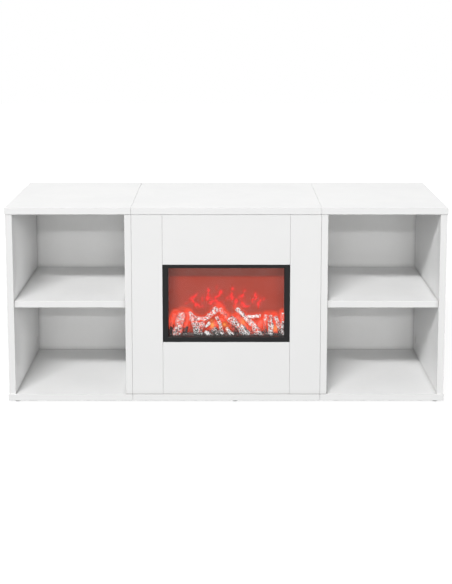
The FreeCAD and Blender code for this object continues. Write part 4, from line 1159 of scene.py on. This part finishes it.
def screenFinish():
    look = screenFinishSettings
    material, tree, sockets, place = newFinish("flameFilm", roughness=0.55, specular=0.12)
    grain = grained(tree, place, look["grainScale"], look["mottleScale"])
    darker = tuple(look["darker"] * part for part in look["film"])
    tree.links.new(mixColour(tree, grain["Mottle"], look["film"], darker), sockets["Base Color"])
    across, _, high = axesOf(tree, place)
    # painted shade: the light is dimmer at the top of the screen
    light = mixColour(tree, between(tree, high, *look["topEdge"]), look["backlight"], look["topShade"])
    light = mixColour(tree, between(tree, high, *look["footEdge"]), look["dimFoot"], light)
    # painted shade: the light is dimmer at the left and right sides
    near, far = look["sideEdge"]
    right = between(tree, across, near, far, 1.0, look["rightShadeShare"])
    left = between(tree, across, -far, -near, look["leftShadeShare"], 1.0)
    uneven = between(tree, grain["Mottle"], 0.2, 0.8, *look["uneven"])
    light = mixColour(tree, times(tree, times(tree, left, right), uneven), unlit, light)
    ragged = between(tree, noise(tree, place, look["raggedScale"]), 0.34, 0.60, *look["ragged"])
    tongue = maths(tree, "MULTIPLY", attribute(tree, "tongueShare"), ragged, clamp=True)
    light = mixColour(tree, tongue, light, look["flame"])
    hottest = attribute(tree, "amberShare")
    hot = mixColour(tree, hottest, look["logGlow"], look["amber"])
    light = mixColour(tree, maths(tree, "MAXIMUM", attribute(tree, "glowShare"), hottest), light, hot)
    tree.links.new(light, sockets["Emission Color"])
    sockets["Emission Strength"].default_value = 1.0
    bumped(tree, sockets, grain["Height"], look["grainDepth"], 0.5)
    return material


# Finishes of the CAD nodes, by the record's slots. Boards differ in where their banded edge lies.
topFinish = boardFinish("whiteTopBoard", -175 * mm)
sideFinish = boardFinish("whiteSideBoard", -173 * mm)
shelfFinish = boardFinish("whiteShelfBoard", -168 * mm)
innerFinish = boardFinish("whiteInnerBoard", -158 * mm)
frontFinish = boardFinish("whiteFrontPanel", -159 * mm)
slotFinishes = {
    "white_hardboard": hardboardFinish(),
    "black_sheet": sheetFinish(),
    "circuit_board": circuitFinish(),
    "lamp_lens": lampFinish(),
    "fire_glass": glassFinish(),
}
for slot, look in plasticSettings.items():
    slotFinishes[slot] = plasticFinish(slot, **look)
for slot, look in metalSettings.items():
    slotFinishes[slot] = metalFinish(slot, **look)
for slot, look in woodSettings.items():
    slotFinishes[slot] = woodFinish(slot, **look)


def boardFor(node):
    if "front" in node:
        return frontFinish
    if "shelf" in node:
        return shelfFinish
    if node.startswith("centre") and "side" in node:
        return innerFinish
    return sideFinish if "side" in node else topFinish


print("finishes ready")

makeBed(bedFinish())
charredLog = logFinish()
for layer in logLayers:
    makeLogs(charredLog, **layer)
makeScreen(screenFinish())
print("fire pieces ready")

for node, cad in cadNodes.items():
    slot = nodeSlots[node]
    finish = boardFor(node) if slot == "white_board" else slotFinishes.get(slot)
    if finish is not None:
        cad.material_slots[0].material = finish
print("nodes dressed")


# Stage: a pale floor that stays white to the eye and keeps the cabinet's shadow.
stageSettings = {
    "size": 14.0,
    "floor": (0.133, 0.133, 0.133),
    "lift": 0.89,
    "farLift": 1.0,
    "nearReach": 0.9,
    "farReach": 1.9,
    "sky": 0.02,
}


def seenDirectly(tree):
    path = addNode(tree, "ShaderNodeLightPath").outputs
    either = maths(tree, "MAXIMUM", path["Is Camera Ray"], path["Is Glossy Ray"])
    return maths(tree, "MAXIMUM", either, path["Is Transmission Ray"])


def makeStage():
    look = stageSettings
    half = look["size"] / 2
    mesh = bpy.data.meshes.new("studioFloor")
    corners = [(-half, -half, 0), (half, -half, 0), (half, half, 0), (-half, half, 0)]
    mesh.from_pydata(corners, [], [(0, 1, 2, 3)])
    floor = bpy.data.objects.new("studioFloor", mesh)
    bpy.context.scene.collection.objects.link(floor)
    material, tree, sockets, place = newFinish("studioPaper", roughness=0.9, specular=0.0)
    sockets["Base Color"].default_value = (*look["floor"], 1.0)
    reach = vectorMaths(tree, "LENGTH", place, output="Value")
    lift = between(tree, reach, look["nearReach"], look["farReach"], look["lift"], look["farLift"])
    shown = times(tree, lift, seenDirectly(tree))
    sockets["Emission Color"].default_value = (1.0, 1.0, 1.0, 1.0)
    tree.links.new(shown, sockets["Emission Strength"])
    mesh.materials.append(material)
    world = bpy.data.worlds.new("studio")
    bpy.context.scene.world = world
    world.use_nodes = True
    tree = world.node_tree
    tree.nodes.clear()
    strength = addNode(tree, "ShaderNodeMix", {0: seenDirectly(tree), 2: look["sky"], 3: 1.0}).outputs[0]
    back = addNode(tree, "ShaderNodeBackground", {"Color": (1.0, 1.0, 1.0, 1.0), "Strength": strength})
    outlet = addNode(tree, "ShaderNodeOutputWorld")
    tree.links.new(back.outputs[0], outlet.inputs[0])


# Lamps: bearing in degrees from straight in front (left is negative), rise above the floor, size across
# and up. The fills and the rear lamps don't mirror in glossy faces.
lampSettings = {
    "keyStrip": dict(bearing=-18.0, rise=38.6, away=12.0, size=(4.65, 0.48), power=1427.0),
    "frontStrip": dict(bearing=0.0, rise=18.7, away=12.0, size=(6.0, 0.20), power=204.0),
    "frontFill": dict(bearing=0.0, rise=8.0, away=12.0, size=(5.0, 2.0), power=166.0, mirrored=False),
    "leftFill": dict(bearing=-65.0, rise=12.0, away=12.0, size=(4.0, 4.0), power=220.0, mirrored=False),
    "rightFill": dict(bearing=52.0, rise=14.0, away=12.0, size=(7.0, 4.0), power=545.0, mirrored=False),
    "overhead": dict(bearing=0.0, rise=88.0, away=2.6, size=(2.4, 1.6), power=13.0),
    "leftRear": dict(bearing=-125.0, rise=8.0, away=8.0, size=(4.0, 2.2), power=371.0, mirrored=False),
    "rightRear": dict(bearing=125.0, rise=8.0, away=8.0, size=(4.0, 2.2), power=371.0, mirrored=False),
}
lampTarget = Vector((0.0, -0.10, 0.24))


def makeLamps():
    for name, look in lampSettings.items():
        bearing, rise = math.radians(look["bearing"]), math.radians(look["rise"])
        level = math.cos(rise)
        way = Vector((math.sin(bearing) * level, -math.cos(bearing) * level, math.sin(rise)))
        light = bpy.data.lights.new(name, "AREA")
        light.shape = "RECTANGLE"
        light.size, light.size_y = look["size"]
        light.energy = look["power"]
        lamp = bpy.data.objects.new(name, light)
        lamp.location = lampTarget + way * look["away"]
        lamp.rotation_euler = (-way).to_track_quat("-Z", "Y").to_euler()
        lamp.visible_camera = False
        lamp.visible_glossy = look.get("mirrored", True)
        bpy.context.scene.collection.objects.link(lamp)


# Camera: in front of the cabinet's middle and looking down on it a little.
cameraSettings = {
    "place": (-0.0006, -2.7571, 0.9369),
    "downTilt": 0.1314,
    "lens": 71.91,
    "shift": -0.25,
}


def makeCamera():
    look = cameraSettings
    view = bpy.data.cameras.new("photoView")
    view.lens = look["lens"]
    view.sensor_fit = "AUTO"
    view.shift_y = look["shift"]
    camera = bpy.data.objects.new("photoView", view)
    camera.location = look["place"]
    camera.rotation_euler = (math.pi / 2 - look["downTilt"], 0.0, 0.0)
    bpy.context.scene.collection.objects.link(camera)
    bpy.context.scene.camera = camera


makeStage()
makeLamps()
makeCamera()
bpy.context.scene.view_settings.view_transform = "Standard"
print("stage, lamps and camera ready")
